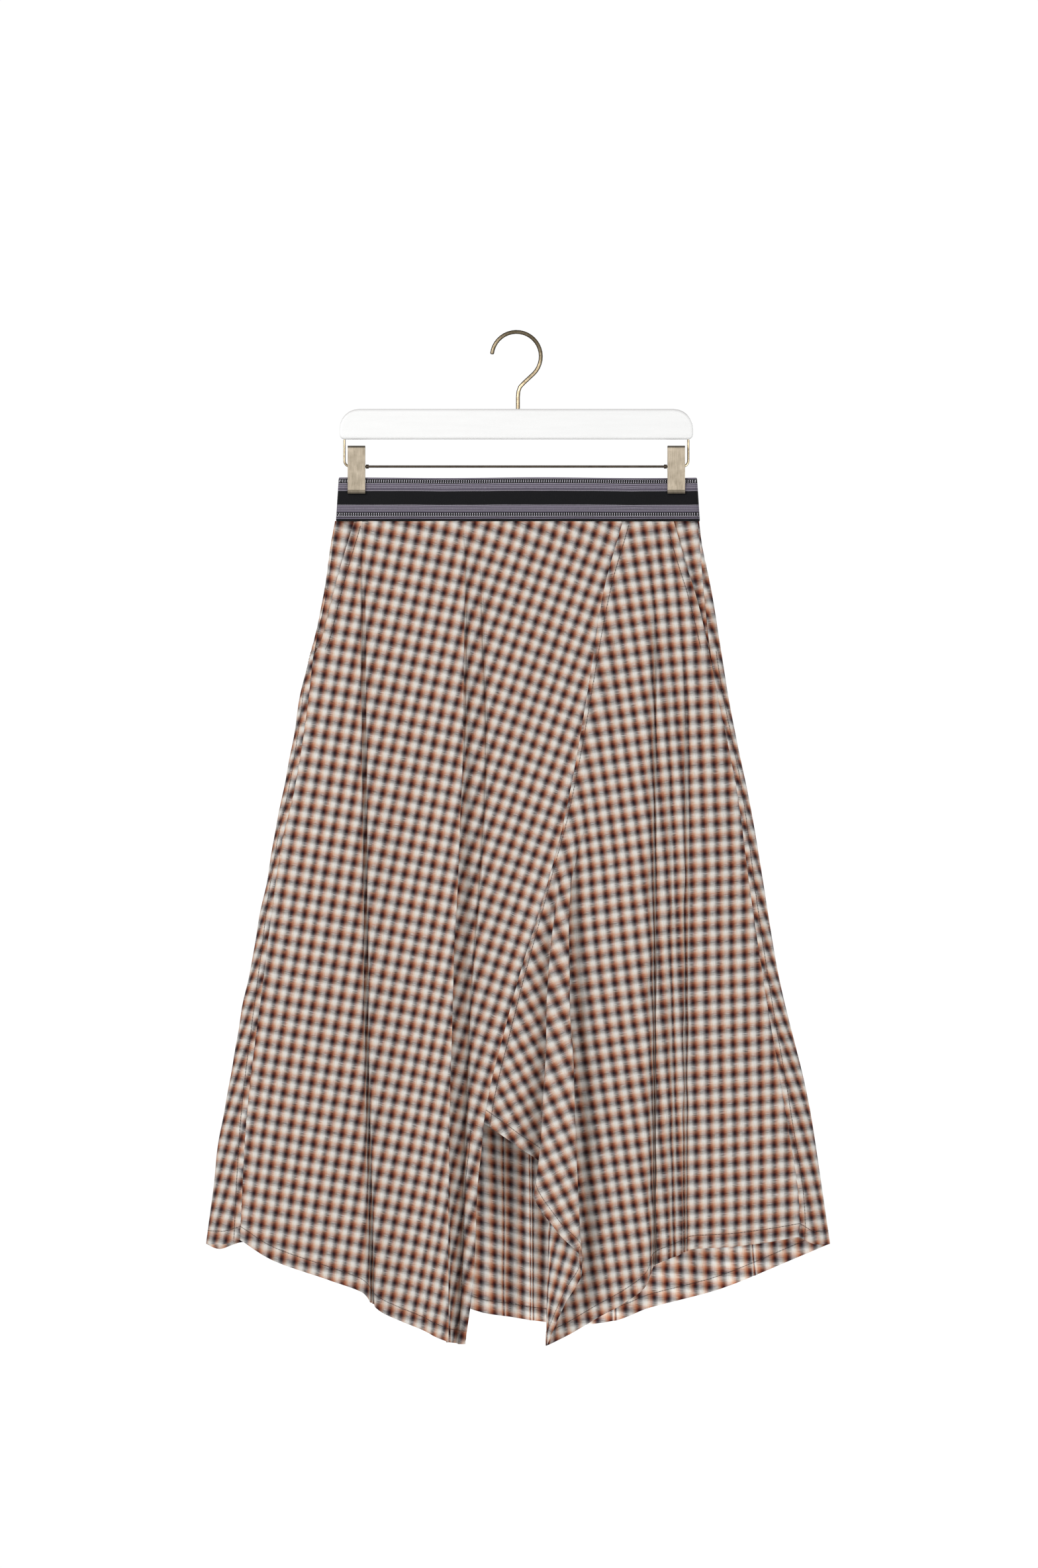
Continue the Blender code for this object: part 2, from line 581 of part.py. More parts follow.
def clip_jaw(name, middle, face, width):
    """A pressed sheet jaw: a face plate with a flange down each side. Face is -1 in front."""
    shape = bmesh.new()
    rings = []
    half, sheet = width / 2, CLIP_SHEET
    for drop, stand, reach in JAW_SECTIONS:
        outside, inside, back = stand, stand - sheet, stand - reach
        ring = ((-half, back), (-half, outside), (half, outside), (half, back),
                (half - sheet, back), (half - sheet, inside), (sheet - half, inside), (sheet - half, back))
        rings.append([shape.verts.new(((middle + x) * MM, face * y * MM, -drop * MM)) for x, y in ring])
    for first, second in zip(rings, rings[1:]):
        for k in range(8):
            m = (k + 1) % 8
            shape.faces.new((first[k], first[m], second[m], second[k]))
    for ring in (rings[0], rings[-1]):
        shape.faces.new((ring[0], ring[1], ring[6], ring[7]))
        shape.faces.new((ring[1], ring[2], ring[5], ring[6]))
        shape.faces.new((ring[2], ring[3], ring[4], ring[5]))
    bmesh.ops.triangulate(shape, faces=shape.faces)
    add_object(name, shape, ANTIQUE_BRASS, round_above=35)


def hanger():
    hook()
    hanger_bar()
    wire_rod()
    for word, side in (("left", -1), ("right", 1)):
        wire_stub(f"wire_stub_{word}", side)
        clip_jaw(f"clip_front_{word}", side * CLIP_X, -1, CLIP_WIDTH)
        clip_jaw(f"clip_rear_{word}", side * CLIP_X, 1, CLIP_WIDTH)


def skirt():
    waistband()
    front_left_panel()
    front_right_panel()
    back_panel()
    pocket_backing("pocket_backing_left", LEFT_MOUTH, LEFT_SEAM, turn=-1)
    pocket_backing("pocket_backing_right", RIGHT_MOUTH, RIGHT_SEAM, turn=1)


clear_scene()
hanger()
skirt()
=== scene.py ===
"""Looks of the asymmetric skirt on its clip hanger: fine cloth, check, stitching, elastic and metal."""

import math

import bpy
import numpy as np
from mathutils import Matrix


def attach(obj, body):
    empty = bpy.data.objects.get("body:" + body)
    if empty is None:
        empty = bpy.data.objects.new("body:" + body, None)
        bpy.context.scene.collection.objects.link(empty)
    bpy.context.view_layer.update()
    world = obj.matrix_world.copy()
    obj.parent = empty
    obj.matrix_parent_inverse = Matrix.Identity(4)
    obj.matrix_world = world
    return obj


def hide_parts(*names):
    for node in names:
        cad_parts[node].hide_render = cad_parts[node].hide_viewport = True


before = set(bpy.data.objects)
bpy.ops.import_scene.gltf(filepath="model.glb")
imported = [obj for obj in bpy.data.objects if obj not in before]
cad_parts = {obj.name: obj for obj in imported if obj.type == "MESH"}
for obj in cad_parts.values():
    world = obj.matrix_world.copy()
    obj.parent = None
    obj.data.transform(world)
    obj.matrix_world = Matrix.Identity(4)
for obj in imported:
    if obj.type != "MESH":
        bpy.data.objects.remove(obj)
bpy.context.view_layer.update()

MM = 0.001

# The camera stands level in front; one pixel of the photograph is PIXEL millimetres of skirt.
# SENSOR is in millimetres too, and the distances of the camera and the floor are in metres.
PIXEL = 0.673
PHOTO_WIDTH = 1568
PHOTO_HEIGHT = 2368
ORIGIN_PX = (780.0, 503.5)
CAMERA_DISTANCE = 9.0
SENSOR = 36.0
MIDDLE_DEPTH = -0.01
FLOOR_DROP = 1.62
FLOOR_HALF = 1.3

# How bright the wall is as the camera sees it, and the soft light that it sends on the skirt.
WALL_WHITE = 1.02
SOFT_LIGHT = 0.70
WHITE = (1.0, 1.0, 1.0, 1)

# Each light has a place and a width in metres, and a power in watts.
LIGHTS = (
    ("key_light", (-1.9, -2.0, 0.9), 0.9, 60.0),
    ("fill_light", (1.5, -2.0, -1.1), 1.2, 22.0),
    ("back_light", (2.0, 1.8, 0.9), 0.9, 60.0),
)
LIGHT_AIM = (0, 0, -0.5)

# Sizes of the skirt in millimetres. A drop is a depth below the hook's inside top, and UNSEWN is the
# distance from a seam that is given to cloth beside which nothing is sewn.
WAIST = 190.4
HEM_FREE = 1026.0
CLOTH_OUT = 0.28
CLOTH_IN = 0.28
HEM_WIDTH = 13.5
HEM_EXTRA = 0.55
SEAM_EXTRA = 0.3
STEP_BLEND = 1.2
SEAM_DIP = 0.45
SEAM_DIP_WIDTH = 0.9
FURROW_HALF = 0.7
UNSEWN = 60.0
PUCKER_REACH = 9.0
PUCKER_PITCH = 8.5
EDGE_CALM = 14.0
PLEAT_RUN_IN = 90.0
RIPPLE_RUN_IN = 80.0
POCKET_FOOT = 326.0
POCKET_UNDERLAP = 12.0
POCKET_BEHIND = 1.9
POCKET_TUCK = 0.3
SEAM_CLEAR = 0.1
STITCH_PITCH = 3.3
STITCH_LONG = 2.5
THREAD_RADIUS = 0.19
CHECK_ACROSS = 13.2
CHECK_DOWN = 15.0

# Sides of a stitch, and its rings: share of its length, share of its thickness, how far it is raised.
STITCH_SIDES = 6
STITCH_RINGS = ((0.0, 0.35, 0.1), (0.2, 1.0, 0.7), (0.8, 1.0, 0.7), (1.0, 0.35, 0.1))

# Slope of the grain in the pocket backings, in degrees.
POCKET_GRAIN = 10.0

# Widths of the columns in millimetres, and counts of rows and steps.
COLUMN_FRONT = 2.7
COLUMN_BACK = 3.6
CLOSEST_COLUMNS = 0.3
BESIDE_PLEAT = (0.0, 0.5, 1.0, 1.6, 2.4, 3.4, 4.8)
ROWS_FRONT = 158
ROWS_BACK = 150
POCKET_ROWS = 40
BAND_ROWS = 22
BAND_STEPS = 90

# Limits for laying the cloth flat: cosine between warp and weft, step in millimetres, rounds, error.
LEAST_COSINE = 0.8
LEAST_STEP = 0.05
MOST_ROUNDS = 600
CLOSE_ENOUGH = 1e-7

# Sizes of the waistband and the clips in millimetres.
BAND_THICK = 2.0
BAND_TOP = 147.0
BAND_BOTTOM = 190.8
BAND_HIGH = BAND_BOTTOM - BAND_TOP
BAND_CENTRE = 1.6
BAND_HALF_TOP = 182.4
BAND_HALF_BOTTOM = 185.3
BAND_OPEN = 5.0
BAND_GRIPPED = 1.6
GRIP_WIDTH = 20.0
GRIP_DROP = 163.0
CLIP_X = 162.7
CLIP_WIDTH = 17.8
CLIP_TOP = 114.0
CLIP_FOOT = 162.7

# Drops of the top of the hook's wire and the foot of its shank.
HOOK_TOP = -4.0
SHANK_FOOT = 76.5

# Side outlines as seen from the front: drop, left x, right x.
OUTLINE = (
    (WAIST, -184.0, 185.5), (212, -188, 188), (262, -195, 198.5), (321, -208, 208.6),
    (371, -220, 216.5), (422, -229, 226), (469, -238, 235.5), (567, -256, 252.5), (649, -271.5, 267),
    (784, -296, 297), (863, -308, 309.5), (926, -315.5, 319.5),
)

# Side seams on the front: drop, x, how far forward of the middle.
LEFT_SEAM = (
    (WAIST, -183.2, 0.9), (215, -187.3, 1.6), (262, -193.8, 3.2), (305, -203, 4.6), (331, -207, 5.2),
    (376, -212, 6.0), (465, -226, 7.0), (518, -238.5, 7.8), (647, -256, 9.5), (808, -275, 12.5),
    (921, -281, 14.0),
)
RIGHT_SEAM = (
    (WAIST, 184.7, 0.9), (215, 187, 1.6), (263, 191, 3.2), (288, 193.5, 4.2), (321, 197, 5.2),
    (353, 202, 5.8), (469, 225, 7.0), (568, 238, 8.4), (673, 253.7, 10.0), (787, 273, 12.2),
    (901, 288, 14.0), (918, 287.5, 14.2),
)
DIAGONAL_SEAM = (
    (WAIST, 108.4, 4.5), (262, 88.8, 8.0), (342, 76, 11.5), (449, 58, 15.5), (509, 45.5, 17.2),
    (589, 23, 19.8), (645, 5.4, 21.5), (712, -12.8, 23.5), (768, -27, 25.0), (802, -33, 26.0),
)
FREE_EDGE = ((829, -35.4, 26.6), (867, -39.5, 27.6), (954, -42.9, 29.4), (HEM_FREE, -52, 31.0))

# Slanting pocket mouths: drop, x, forward.
LEFT_MOUTH = ((WAIST, -165, 3.2), (248, -182, 4.6), (275, -189, 5.2), (312, -198.5, 5.9))
RIGHT_MOUTH = ((WAIST, 160, 3.2), (234.5, 172.6, 4.4), (263, 181.7, 5.0), (302, 191.5, 5.8))

# Key lines of the left front panel, from the pocket side to the diagonal seam: drop, x, forward.
LEFT_LINES = {
    "side_flare": ((WAIST, -162.5, 3.4), (300, -180, 7.5), (420, -197, 10), (560, -219, 15),
        (700, -236, 20), (941, -248, 25)),
    "left_swell": ((WAIST, -160, 3.6), (300, -168, 9), (420, -175, 13), (560, -186, 20),
        (700, -191, 26), (961, -190, 33)),
    "pinch_left": ((WAIST, -158, 4.0), (300, -159.5, 10), (536, -158, 21), (700, -158, 27),
        (975, -154, 34)),
    "pinch_valley": ((WAIST, -155.5, 3.0), (300, -155.5, 6.5), (536, -153.5, 14), (700, -152, 19),
        (985, -146, 25)),
    "pinch_right": ((WAIST, -152.5, 4.0), (300, -151, 9.5), (536, -148, 19.5), (700, -146, 25),
        (992, -139, 32)),
    "left_middle": ((WAIST, -125, 4.6), (300, -127, 9), (560, -124, 18), (700, -119, 22),
        (1003, -117, 27)),
    "before_fold": ((WAIST, -92, 5.0), (300, -93, 10), (560, -93, 20), (700, -94, 26), (1012, -94, 32)),
    "fold_shoulder": ((WAIST, -70, 5.2), (300, -65, 12), (560, -70, 24), (700, -76, 33),
        (1019, -80, 40)),
    "fold_ridge": ((WAIST, -58, 5.4), (233, -53, 9.5), (401, -54, 18), (502, -57, 24), (658, -64, 34),
        (747, -66.5, 38), (886, -69, 43), (1023, -69, 46)),
    "fold_under": ((WAIST, -54, 5.0), (233, -50, 7), (401, -52, 12), (502, -58, 15.5), (658, -67, 21),
        (747, -69, 24), (886, -69, 29), (1024, -68, 33)),
    "recess": ((WAIST, -40, 4.9), (300, -38, 8), (420, -34, 11.5), (560, -40, 15), (700, -50, 19),
        (802, -54, 22), (1025, -62, 28)),
    "upper_crease": ((WAIST, -14, 5.0), (300, -8, 9.5), (420, -10, 13.5), (560, -22, 18),
        (700, -39, 22), (802, -47, 24.5), (1026, -58.5, 30)),
    "upper_middle": ((WAIST, 40, 5.0), (300, 28, 9.5), (420, 20, 13), (560, 3, 17), (700, -25, 22),
        (802, -40.5, 25), (1026, -55, 31)),
}

# Key lines of the right front panel, from the diagonal seam to the pocket side.
RIGHT_LINES = {
    "under_drape": ((WAIST, 110.5, 4.4), (300, 87, 10), (420, 67.5, 14), (500, 51.5, 16.8),
        (560, 35.5, 19), (625, 22, 22), (691, 12, 24), (759, 4, 25.5), (825, 0, 26)),
    "drape_valley": ((WAIST, 112.2, 4.4), (300, 89.2, 10), (420, 70.2, 14), (500, 54.2, 16.8),
        (560, 39.5, 18.8), (625, 33.5, 20.5), (691, 34, 21), (759, 33, 21.5), (849, 29.5, 21)),
    "drape_valley_turn": ((WAIST, 113.5, 4.4), (300, 90.8, 10), (420, 72, 14.1), (500, 55.8, 17.1),
        (560, 42, 20), (625, 35.6, 23.6), (691, 35.4, 25.5), (759, 34.4, 27), (860, 29.5, 27.5)),
    "drape_ridge": ((WAIST, 115, 4.4), (300, 92.4, 10), (420, 74, 14.2), (500, 57.6, 17.6),
        (560, 44.2, 22), (625, 35.4, 29.2), (691, 31, 35), (759, 28.7, 40), (817, 25, 43.5),
        (875, 18, 46.5)),
    "drape_front": ((WAIST, 116.8, 4.4), (300, 94.7, 10.2), (420, 76.7, 14.5), (500, 60, 18.2),
        (560, 48.5, 24), (625, 44, 32.5), (691, 42.5, 39), (817, 43, 48), (913, 43, 52)),
    "drape_turn": ((WAIST, 118.5, 4.4), (300, 97, 10.4), (420, 79.5, 15), (500, 62.5, 18.8),
        (560, 55, 25.2), (603, 53.3, 30.5), (669, 53.8, 37.5), (759, 58.5, 44.8), (817, 60.5, 48.3),
        (920, 65.5, 53.5), (940, 66.8, 54.5)),
    "drape_turn_under": ((WAIST, 120.2, 4.4), (300, 98.6, 10.3), (420, 81.6, 14.7), (500, 64.8, 18.4),
        (560, 56.6, 23), (603, 54.6, 26.8), (669, 54.8, 32.8), (759, 59.2, 39.4), (817, 61, 43),
        (920, 66, 48.5), (953, 66.4, 50)),
    "drape_back": ((WAIST, 122, 4.4), (300, 100.5, 10.2), (420, 83.8, 14.3), (500, 67, 17.7),
        (560, 57.2, 20.6), (625, 50, 24.4), (691, 47.5, 29), (817, 49, 36), (985, 49, 46)),
    "drape_fold": ((WAIST, 123.8, 4.4), (300, 102.6, 10), (420, 86.3, 13.8), (500, 70, 16.5),
        (560, 57, 18), (625, 46.5, 20.5), (691, 41, 23.5), (817, 37, 29), (902, 34, 33.5),
        (1027, 31, 39)),
    "drape_edge": ((WAIST, 126, 4.4), (300, 106.4, 9.8), (420, 91, 13.2), (500, 76, 15.5),
        (560, 66, 16.5), (625, 61, 17.5), (691, 58, 19.5), (817, 54, 24), (902, 52.5, 28),
        (1017, 52, 32.5)),
    "drape_swell": ((WAIST, 128, 4.3), (300, 113, 9.8), (420, 101, 13), (500, 92, 15.4), (600, 87, 18),
        (817, 82.5, 24), (1000, 81, 32)),
    "mild_fold": ((WAIST, 131, 4.3), (300, 121, 10.5), (420, 114, 15), (560, 108.5, 19.5),
        (817, 108, 28), (985, 108, 34)),
    "press_ridge": ((WAIST, 135, 4.3), (300, 134, 12), (420, 132, 17), (560, 131, 23), (817, 130.5, 33),
        (967, 131, 38)),
    "press_valley": ((WAIST, 139, 3.7), (300, 141.5, 7.5), (420, 141, 11), (560, 140.5, 15),
        (817, 140, 22), (947, 140, 26)),
    "second_ridge": ((WAIST, 142.5, 3.9), (300, 149, 10), (420, 149.5, 14), (560, 150, 19),
        (817, 150, 28), (941, 151, 32)),
    "second_valley": ((WAIST, 145.5, 3.5), (300, 157, 7.5), (420, 158, 10.5), (560, 159, 14.5),
        (817, 160, 20.5), (938, 160, 24)),
    "crease_left": ((WAIST, 148.5, 3.5), (300, 165, 8.5), (420, 168, 11.8), (560, 168, 16),
        (817, 167, 23), (935, 166.5, 27)),
    "crease_valley": ((WAIST, 151, 3.3), (300, 169.5, 6.5), (420, 173.5, 8.5), (560, 173, 12),
        (817, 171.5, 18.5), (933, 171, 22)),
    "crease_right": ((WAIST, 153.3, 3.5), (300, 174, 7.8), (420, 179, 11), (560, 179.5, 15),
        (817, 178.5, 22.5), (930, 178, 26)),
    "right_swell": ((WAIST, 155.6, 3.4), (300, 180.5, 7.4), (420, 195, 10.5), (560, 204, 14.5),
        (700, 209, 18.5), (928, 215, 24)),
    "right_flare": ((WAIST, 157.8, 3.3), (300, 186.2, 6.8), (420, 206, 8.6), (560, 222, 11.4),
        (700, 234.5, 14.8), (924, 251, 19)),
}

# Folds of the back from the right side to the left: share of the width, hem drop, depth at hem.
BACK_FOLDS = (
    (0.930, 946, 26), (0.880, 960, 35), (0.820, 974, 25), (0.765, 984, 34), (0.712, 992, 25),
    (0.655, 1006, 35), (0.597, 1010, 26), (0.553, 1008, 34), (0.522, 1005, 24), (0.486, 1002, 34),
    (0.448, 998, 25), (0.390, 986, 34), (0.330, 973, 26), (0.265, 959, 35), (0.195, 946, 25),
    (0.125, 934, 33), (0.060, 925, 23),
)

# How deep the back lies at the waist, how many points a fold's line has, and how fast it deepens.
BACK_WAIST = 4.6
BACK_POINTS = 8
BACK_SPREAD = 0.85

# Key lines round each side: where the first lies between the outline and the side seam, and then
# how far the others stand inward and behind at the waist, with how much more at the hem.
WRAP_SHARE = 0.45
WRAP_FORWARD = 0.7
WRAP_BEHIND = 0.45
RIM_BEHIND = (1.0, 3)
TURN_INWARD = (1.6, 11)
TURN_BEHIND = (3.2, 15)
BEHIND_FALL = 6.0

# How the grain lies in each panel: key line, drop, lean of the warp, slope of the weft, in degrees.
# A key line with one row has the same grain from its top to its foot.
# A warp leans back against the panel's run, and a weft falls along it, by positive angles.
LEFT_GRAIN = (
    (0, 190, 8, 10),
    (4, 190, 9, 11),
    (8, 190, 12, 13), (8, 1000, 11, 13),
    (12, 190, 15, 19), (12, 1000, 14, 19),
    (14, 190, 16, 22), (14, 1000, 15, 22),
)
RIGHT_GRAIN = (
    (0, 190, -10, -9), (0, 520, -14, -14), (0, 620, -28, -28), (0, 1000, -30, -32),
    (3, 190, -10, -9), (3, 520, -14, -14), (3, 620, -28, -28), (3, 1000, -30, -32),
    (6, 190, -10, -9), (6, 520, -12, -12), (6, 620, -24, -24), (6, 1000, -28, -28),
    (9, 190, -9, -9), (9, 560, -9, -9), (9, 1000, -14, -14),
    (13, 190, -8, -8), (13, 1000, -9, -8),
    (17, 190, -6, -4), (17, 1000, -6, -5),
    (20, 190, -5, -3), (20, 1000, -7, -4),
    (22, 190, -6, -4), (22, 1000, -9, -6),
)
BACK_GRAIN = (
    (0, 190, -10, -10), (0, 1000, -12, -12),
    (2, 190, 0, 0),
    (4, 190, 4, 0), (4, 1000, 6, 0),
    (12, 190, -4, -12), (12, 1000, -5, -14),
    (20, 190, -8, -12), (20, 1000, -10, -14),
    (22, 190, 0, 0),
    (24, 190, 10, 14), (24, 1000, 12, 20),
)

# Where the check starts in each panel, in millimetres across and down.
CHECK_START = {"front_left": (4.0, 2.0), "front_right": (0.0, 9.0), "back": (6.0, 5.0)}

# Hard creases: key line, top drop, half width, depth, cloth hidden at the hem.
# A crease of negative depth stands proud, as the sharp edge inside or beside a hollow one.
PLEATS = {
    "front_left": (
        (4.0, 196, 2.6, 2.4, 18.0), (4.0, 196, 0.8, -2.3, 0.0), (9.7, 215, 3.2, 1.8, 52.0),
        (10.1, 225, 0.9, -1.4, 0.0), (11.15, 200, 1.8, 3.0, 6.0), (11.24, 200, 0.8, -1.3, 0.0),
    ),
    "front_right": (
        (9.0, 540, 3.0, 0.8, 20.0), (14.0, 250, 1.6, 2.2, 30.0), (14.3, 250, 0.8, -0.9, 0.0),
        (16.0, 330, 2.4, 1.2, 10.0), (18.0, 300, 2.3, 2.2, 24.0), (18.0, 300, 0.7, -1.9, 0.0),
    ),
    "back": (
        (5.0, 250, 1.5, 1.5, 16.0), (9.0, 300, 1.8, 1.3, 14.0), (12.0, 210, 1.4, 1.6, 22.0),
        (13.25, 230, 1.6, 1.6, 12.0), (16.0, 280, 1.7, 1.3, 14.0), (19.0, 230, 1.5, 1.6, 18.0),
    ),
}

# Soft creases: top x, top drop, foot x, foot drop, half width, how far the crease stands out.
FRONT_CREASES = (
    (-41, 225, -29, 420, 5.0, -1.3), (-34, 230, -22, 430, 6.0, 0.9), (-120, 200, -128, 520, 7.0, 0.9),
    (-108, 210, -111, 640, 6.0, -0.9), (-186, 420, -224, 900, 8.0, 1.3),
    (-205, 520, -238, 930, 6.0, -1.1), (-168, 560, -176, 980, 6.0, -1.2), (10, 260, -12, 560, 9.0, 0.9),
    (52, 240, 22, 520, 7.0, -0.9), (96, 230, 92, 560, 6.0, 1.1), (103, 330, 100, 620, 5.0, -1.0),
    (122, 300, 120, 880, 5.0, -1.0), (188, 420, 195, 900, 7.0, 1.2), (215, 500, 232, 900, 7.0, -1.1),
    (240, 640, 266, 910, 7.0, 1.0), (88, 640, 92, 980, 7.0, 1.2), (70, 700, 72, 980, 5.0, -0.9),
    (-100, 660, -104, 1000, 6.0, 1.0), (-45, 205, -62, 1180, 5.0, -4.0), (56, 470, 78, 1200, 5.5, -4.0),
)
BACK_CREASES = (
    (-150, 230, -178, 700, 7.0, 1.0), (-96, 260, -112, 620, 6.0, -1.0), (-40, 220, -52, 560, 7.0, 0.9),
    (18, 240, 10, 640, 6.0, -0.9), (66, 230, 84, 700, 7.0, 1.1), (120, 260, 150, 680, 6.0, -1.0),
    (196, 480, 230, 900, 8.0, 1.1), (-210, 520, -246, 900, 8.0, -1.1),
)

# Long shallow waves in the cloth: wavelength across, wavelength down, start, height.
RIPPLES = (
    (47.0, 610.0, 0.3, 0.35),
    (29.0, 430.0, 1.9, 0.22),
    (83.0, 350.0, 4.1, 0.40),
    (61.0, -520.0, 2.7, 0.28),
)

# Colours that run across one repeat of the warp, left to right: place, red, green, blue.
# Warp and weft are blended first, and the blend is then raised to the power MIX_POWER.
MIX_POWER = 1.5
WARP_COLOURS = (
    (0.00, 0.88, 0.86, 0.82),
    (0.11, 0.80, 0.78, 0.76),
    (0.27, 0.29, 0.27, 0.27),
    (0.38, 0.05, 0.04, 0.05),
    (0.49, 0.14, 0.04, 0.03),
    (0.61, 0.50, 0.23, 0.14),
    (0.77, 0.81, 0.61, 0.48),
    (0.90, 0.88, 0.83, 0.77),
    (1.00, 0.88, 0.86, 0.82),
)
# Colours that run down one repeat of the weft, top to bottom.
WEFT_COLOURS = (
    (0.00, 0.88, 0.86, 0.82),
    (0.13, 0.86, 0.76, 0.68),
    (0.29, 0.67, 0.39, 0.27),
    (0.45, 0.35, 0.14, 0.09),
    (0.58, 0.09, 0.04, 0.05),
    (0.68, 0.15, 0.13, 0.14),
    (0.80, 0.43, 0.42, 0.41),
    (0.91, 0.80, 0.79, 0.78),
    (1.00, 0.88, 0.86, 0.82),
)

# How fine the noises drawn out along the threads are, across and down.
WAVER = (90, 90)
SLUBS = (130, 1500)
FINE_WARP = (1500, 160)
BAND_WANDER = (22, 9)
BAND_RIBS = (2600, 240)

# How bright the metal of the clips, the hook and the rod is from foot to top: share of the height, tone. On
# the clips this is painted shade at the foot and along the top edge and a painted highlight along the top
# of the lip; the hook grows darker from its foot to its top, and the rod is even.
CLIP_PAINTED_LIGHT = (
    (0.0, 0.1), (0.03, 0.3), (0.07, 0.55), (0.078, 1.0), (0.09, 0.88), (0.95, 0.9), (0.968, 0.15),
)
HOOK_TONES_BY_HEIGHT = ((0.0, 1.9), (0.2, 1.5), (0.4, 0.85), (1.0, 0.42))
ROD_TONES_BY_HEIGHT = ((0.0, 1.0), (1.0, 1.0))
# Finishes of the metal: how fine its scratches are along X, Y and Z, its dark and its bright colour,
# the drops of its foot and its top, and its tones by height, which on the clips are painted light and
# shade.
METALS = {
    "brass_hook": (
        (400, 400, 400), (0.27, 0.21, 0.13), (0.46, 0.38, 0.26), SHANK_FOOT, HOOK_TOP, HOOK_TONES_BY_HEIGHT,
    ),
    "brass_rod": (
        (60, 900, 900), (0.075, 0.058, 0.042), (0.14, 0.11, 0.085), CLIP_FOOT, CLIP_TOP, ROD_TONES_BY_HEIGHT,
    ),
    "brass_plate": (
        (1500, 1500, 30), (0.55, 0.465, 0.345), (0.82, 0.705, 0.55), CLIP_FOOT, CLIP_TOP, CLIP_PAINTED_LIGHT,
    ),
}
# The metal's colour where it is seen at a flat angle, dark with age.
GRAZING_TINT = (0.16, 0.12, 0.08)
# Painted shade along the bar's rounded edges, darkest where they face up: from 0, facing down, to 1, facing
# up.
EDGE_PAINTED_SHADE = (
    (0.2, 0.95, 0.95, 0.95), (0.45, 1.0, 1.0, 1.0), (0.53, 1.0, 1.0, 1.0), (0.75, 0.78, 0.77, 0.77),
)
# Colours of the paint, the thread and the floor, picked by a noise: its value, red, green, blue.
PAINT_COLOURS = ((0.3, 0.665, 0.665, 0.66), (0.7, 0.685, 0.685, 0.68))
THREAD_COLOURS = ((0.3, 0.035, 0.022, 0.022), (0.75, 0.13, 0.075, 0.06))
FLOOR_COLOURS = ((0.2, 0.80, 0.80, 0.80), (0.8, 0.84, 0.84, 0.84))
# How bright the metal is by how squarely it faces the front or back: painted light where it faces them,
# painted shade where it faces sideways, up or down.
FACING_PAINTED_LIGHT = ((0.0, 0.08), (0.6, 0.2), (0.93, 1.05))

# Stripes of the elastic band from its top edge down: where each ends in millimetres, red, green, blue.
LAVENDER = (0.115, 0.10, 0.135)
PALE = (0.25, 0.23, 0.27)
BLACK = (0.006, 0.006, 0.007)
BAND_STRIPES = (
    (1.0, LAVENDER), (1.4, PALE),
    (5.7, BLACK),
    (6.3, PALE), (7.4, LAVENDER), (7.8, BLACK), (8.3, PALE), (9.3, LAVENDER), (9.6, BLACK),
    (10.1, PALE), (11.1, LAVENDER), (11.5, BLACK), (12.3, LAVENDER), (12.6, BLACK), (13.2, PALE),
    (27.3, BLACK),
    (28.0, PALE), (28.4, BLACK), (29.3, LAVENDER), (29.7, PALE), (30.0, BLACK), (31.0, LAVENDER),
    (31.4, PALE), (31.8, BLACK), (32.6, LAVENDER), (33.0, PALE), (33.4, BLACK), (34.5, LAVENDER),
    (38.5, BLACK),
    (39.2, PALE), (40.1, BLACK), (41.3, LAVENDER),
    (43.2, BLACK),
)
DOT_ROWS = (2.8, 4.3, 35.9, 37.5)
DOT_PITCH = 2.33
DOT_RADIUS = 0.46
DOT_COLOUR = (0.52, 0.50, 0.55, 1)
RIB_PITCH = 0.9


def smooth(knots, values, at):
    """Values on a curve that meets every knot, turns softly and never overshoots one."""
    width = np.diff(knots)[:, None]
    rise = np.diff(values, axis=0) / width
    both = rise[:-1] * rise[1:]
    total = rise[:-1] + rise[1:]
    safe = np.where(both > 0, total, 1.0)
    slope = np.vstack([rise[:1], np.where(both > 0, 2 * both / safe, 0.0), rise[-1:]])
    at = np.clip(np.atleast_1d(at), knots[0], knots[-1])
    part = np.clip(np.searchsorted(knots, at, side="right") - 1, 0, len(knots) - 2)
    long = width[part]
    t = ((at - knots[part]) / width[part, 0])[:, None]
    start = (2 * t**3 - 3 * t**2 + 1) * values[part] + (t**3 - 2 * t**2 + t) * long * slope[part]
    end = (3 * t**2 - 2 * t**3) * values[part + 1] + (t**3 - t**2) * long * slope[part + 1]
    return start + end


def at_drops(line, drops):
    """What a key line says at some drops, such as x and how far forward."""
    line = np.asarray(line, float)
    return smooth(line[:, 0], line[:, 1:], drops)


def line_points(line, rows):
    """Points down one key line: x, y and z in millimetres at each share of its length."""
    drop = line[0][0] + (line[-1][0] - line[0][0]) * rows
    place = at_drops(line, drop)
    return np.column_stack([place[:, 0], -place[:, 1], -drop])


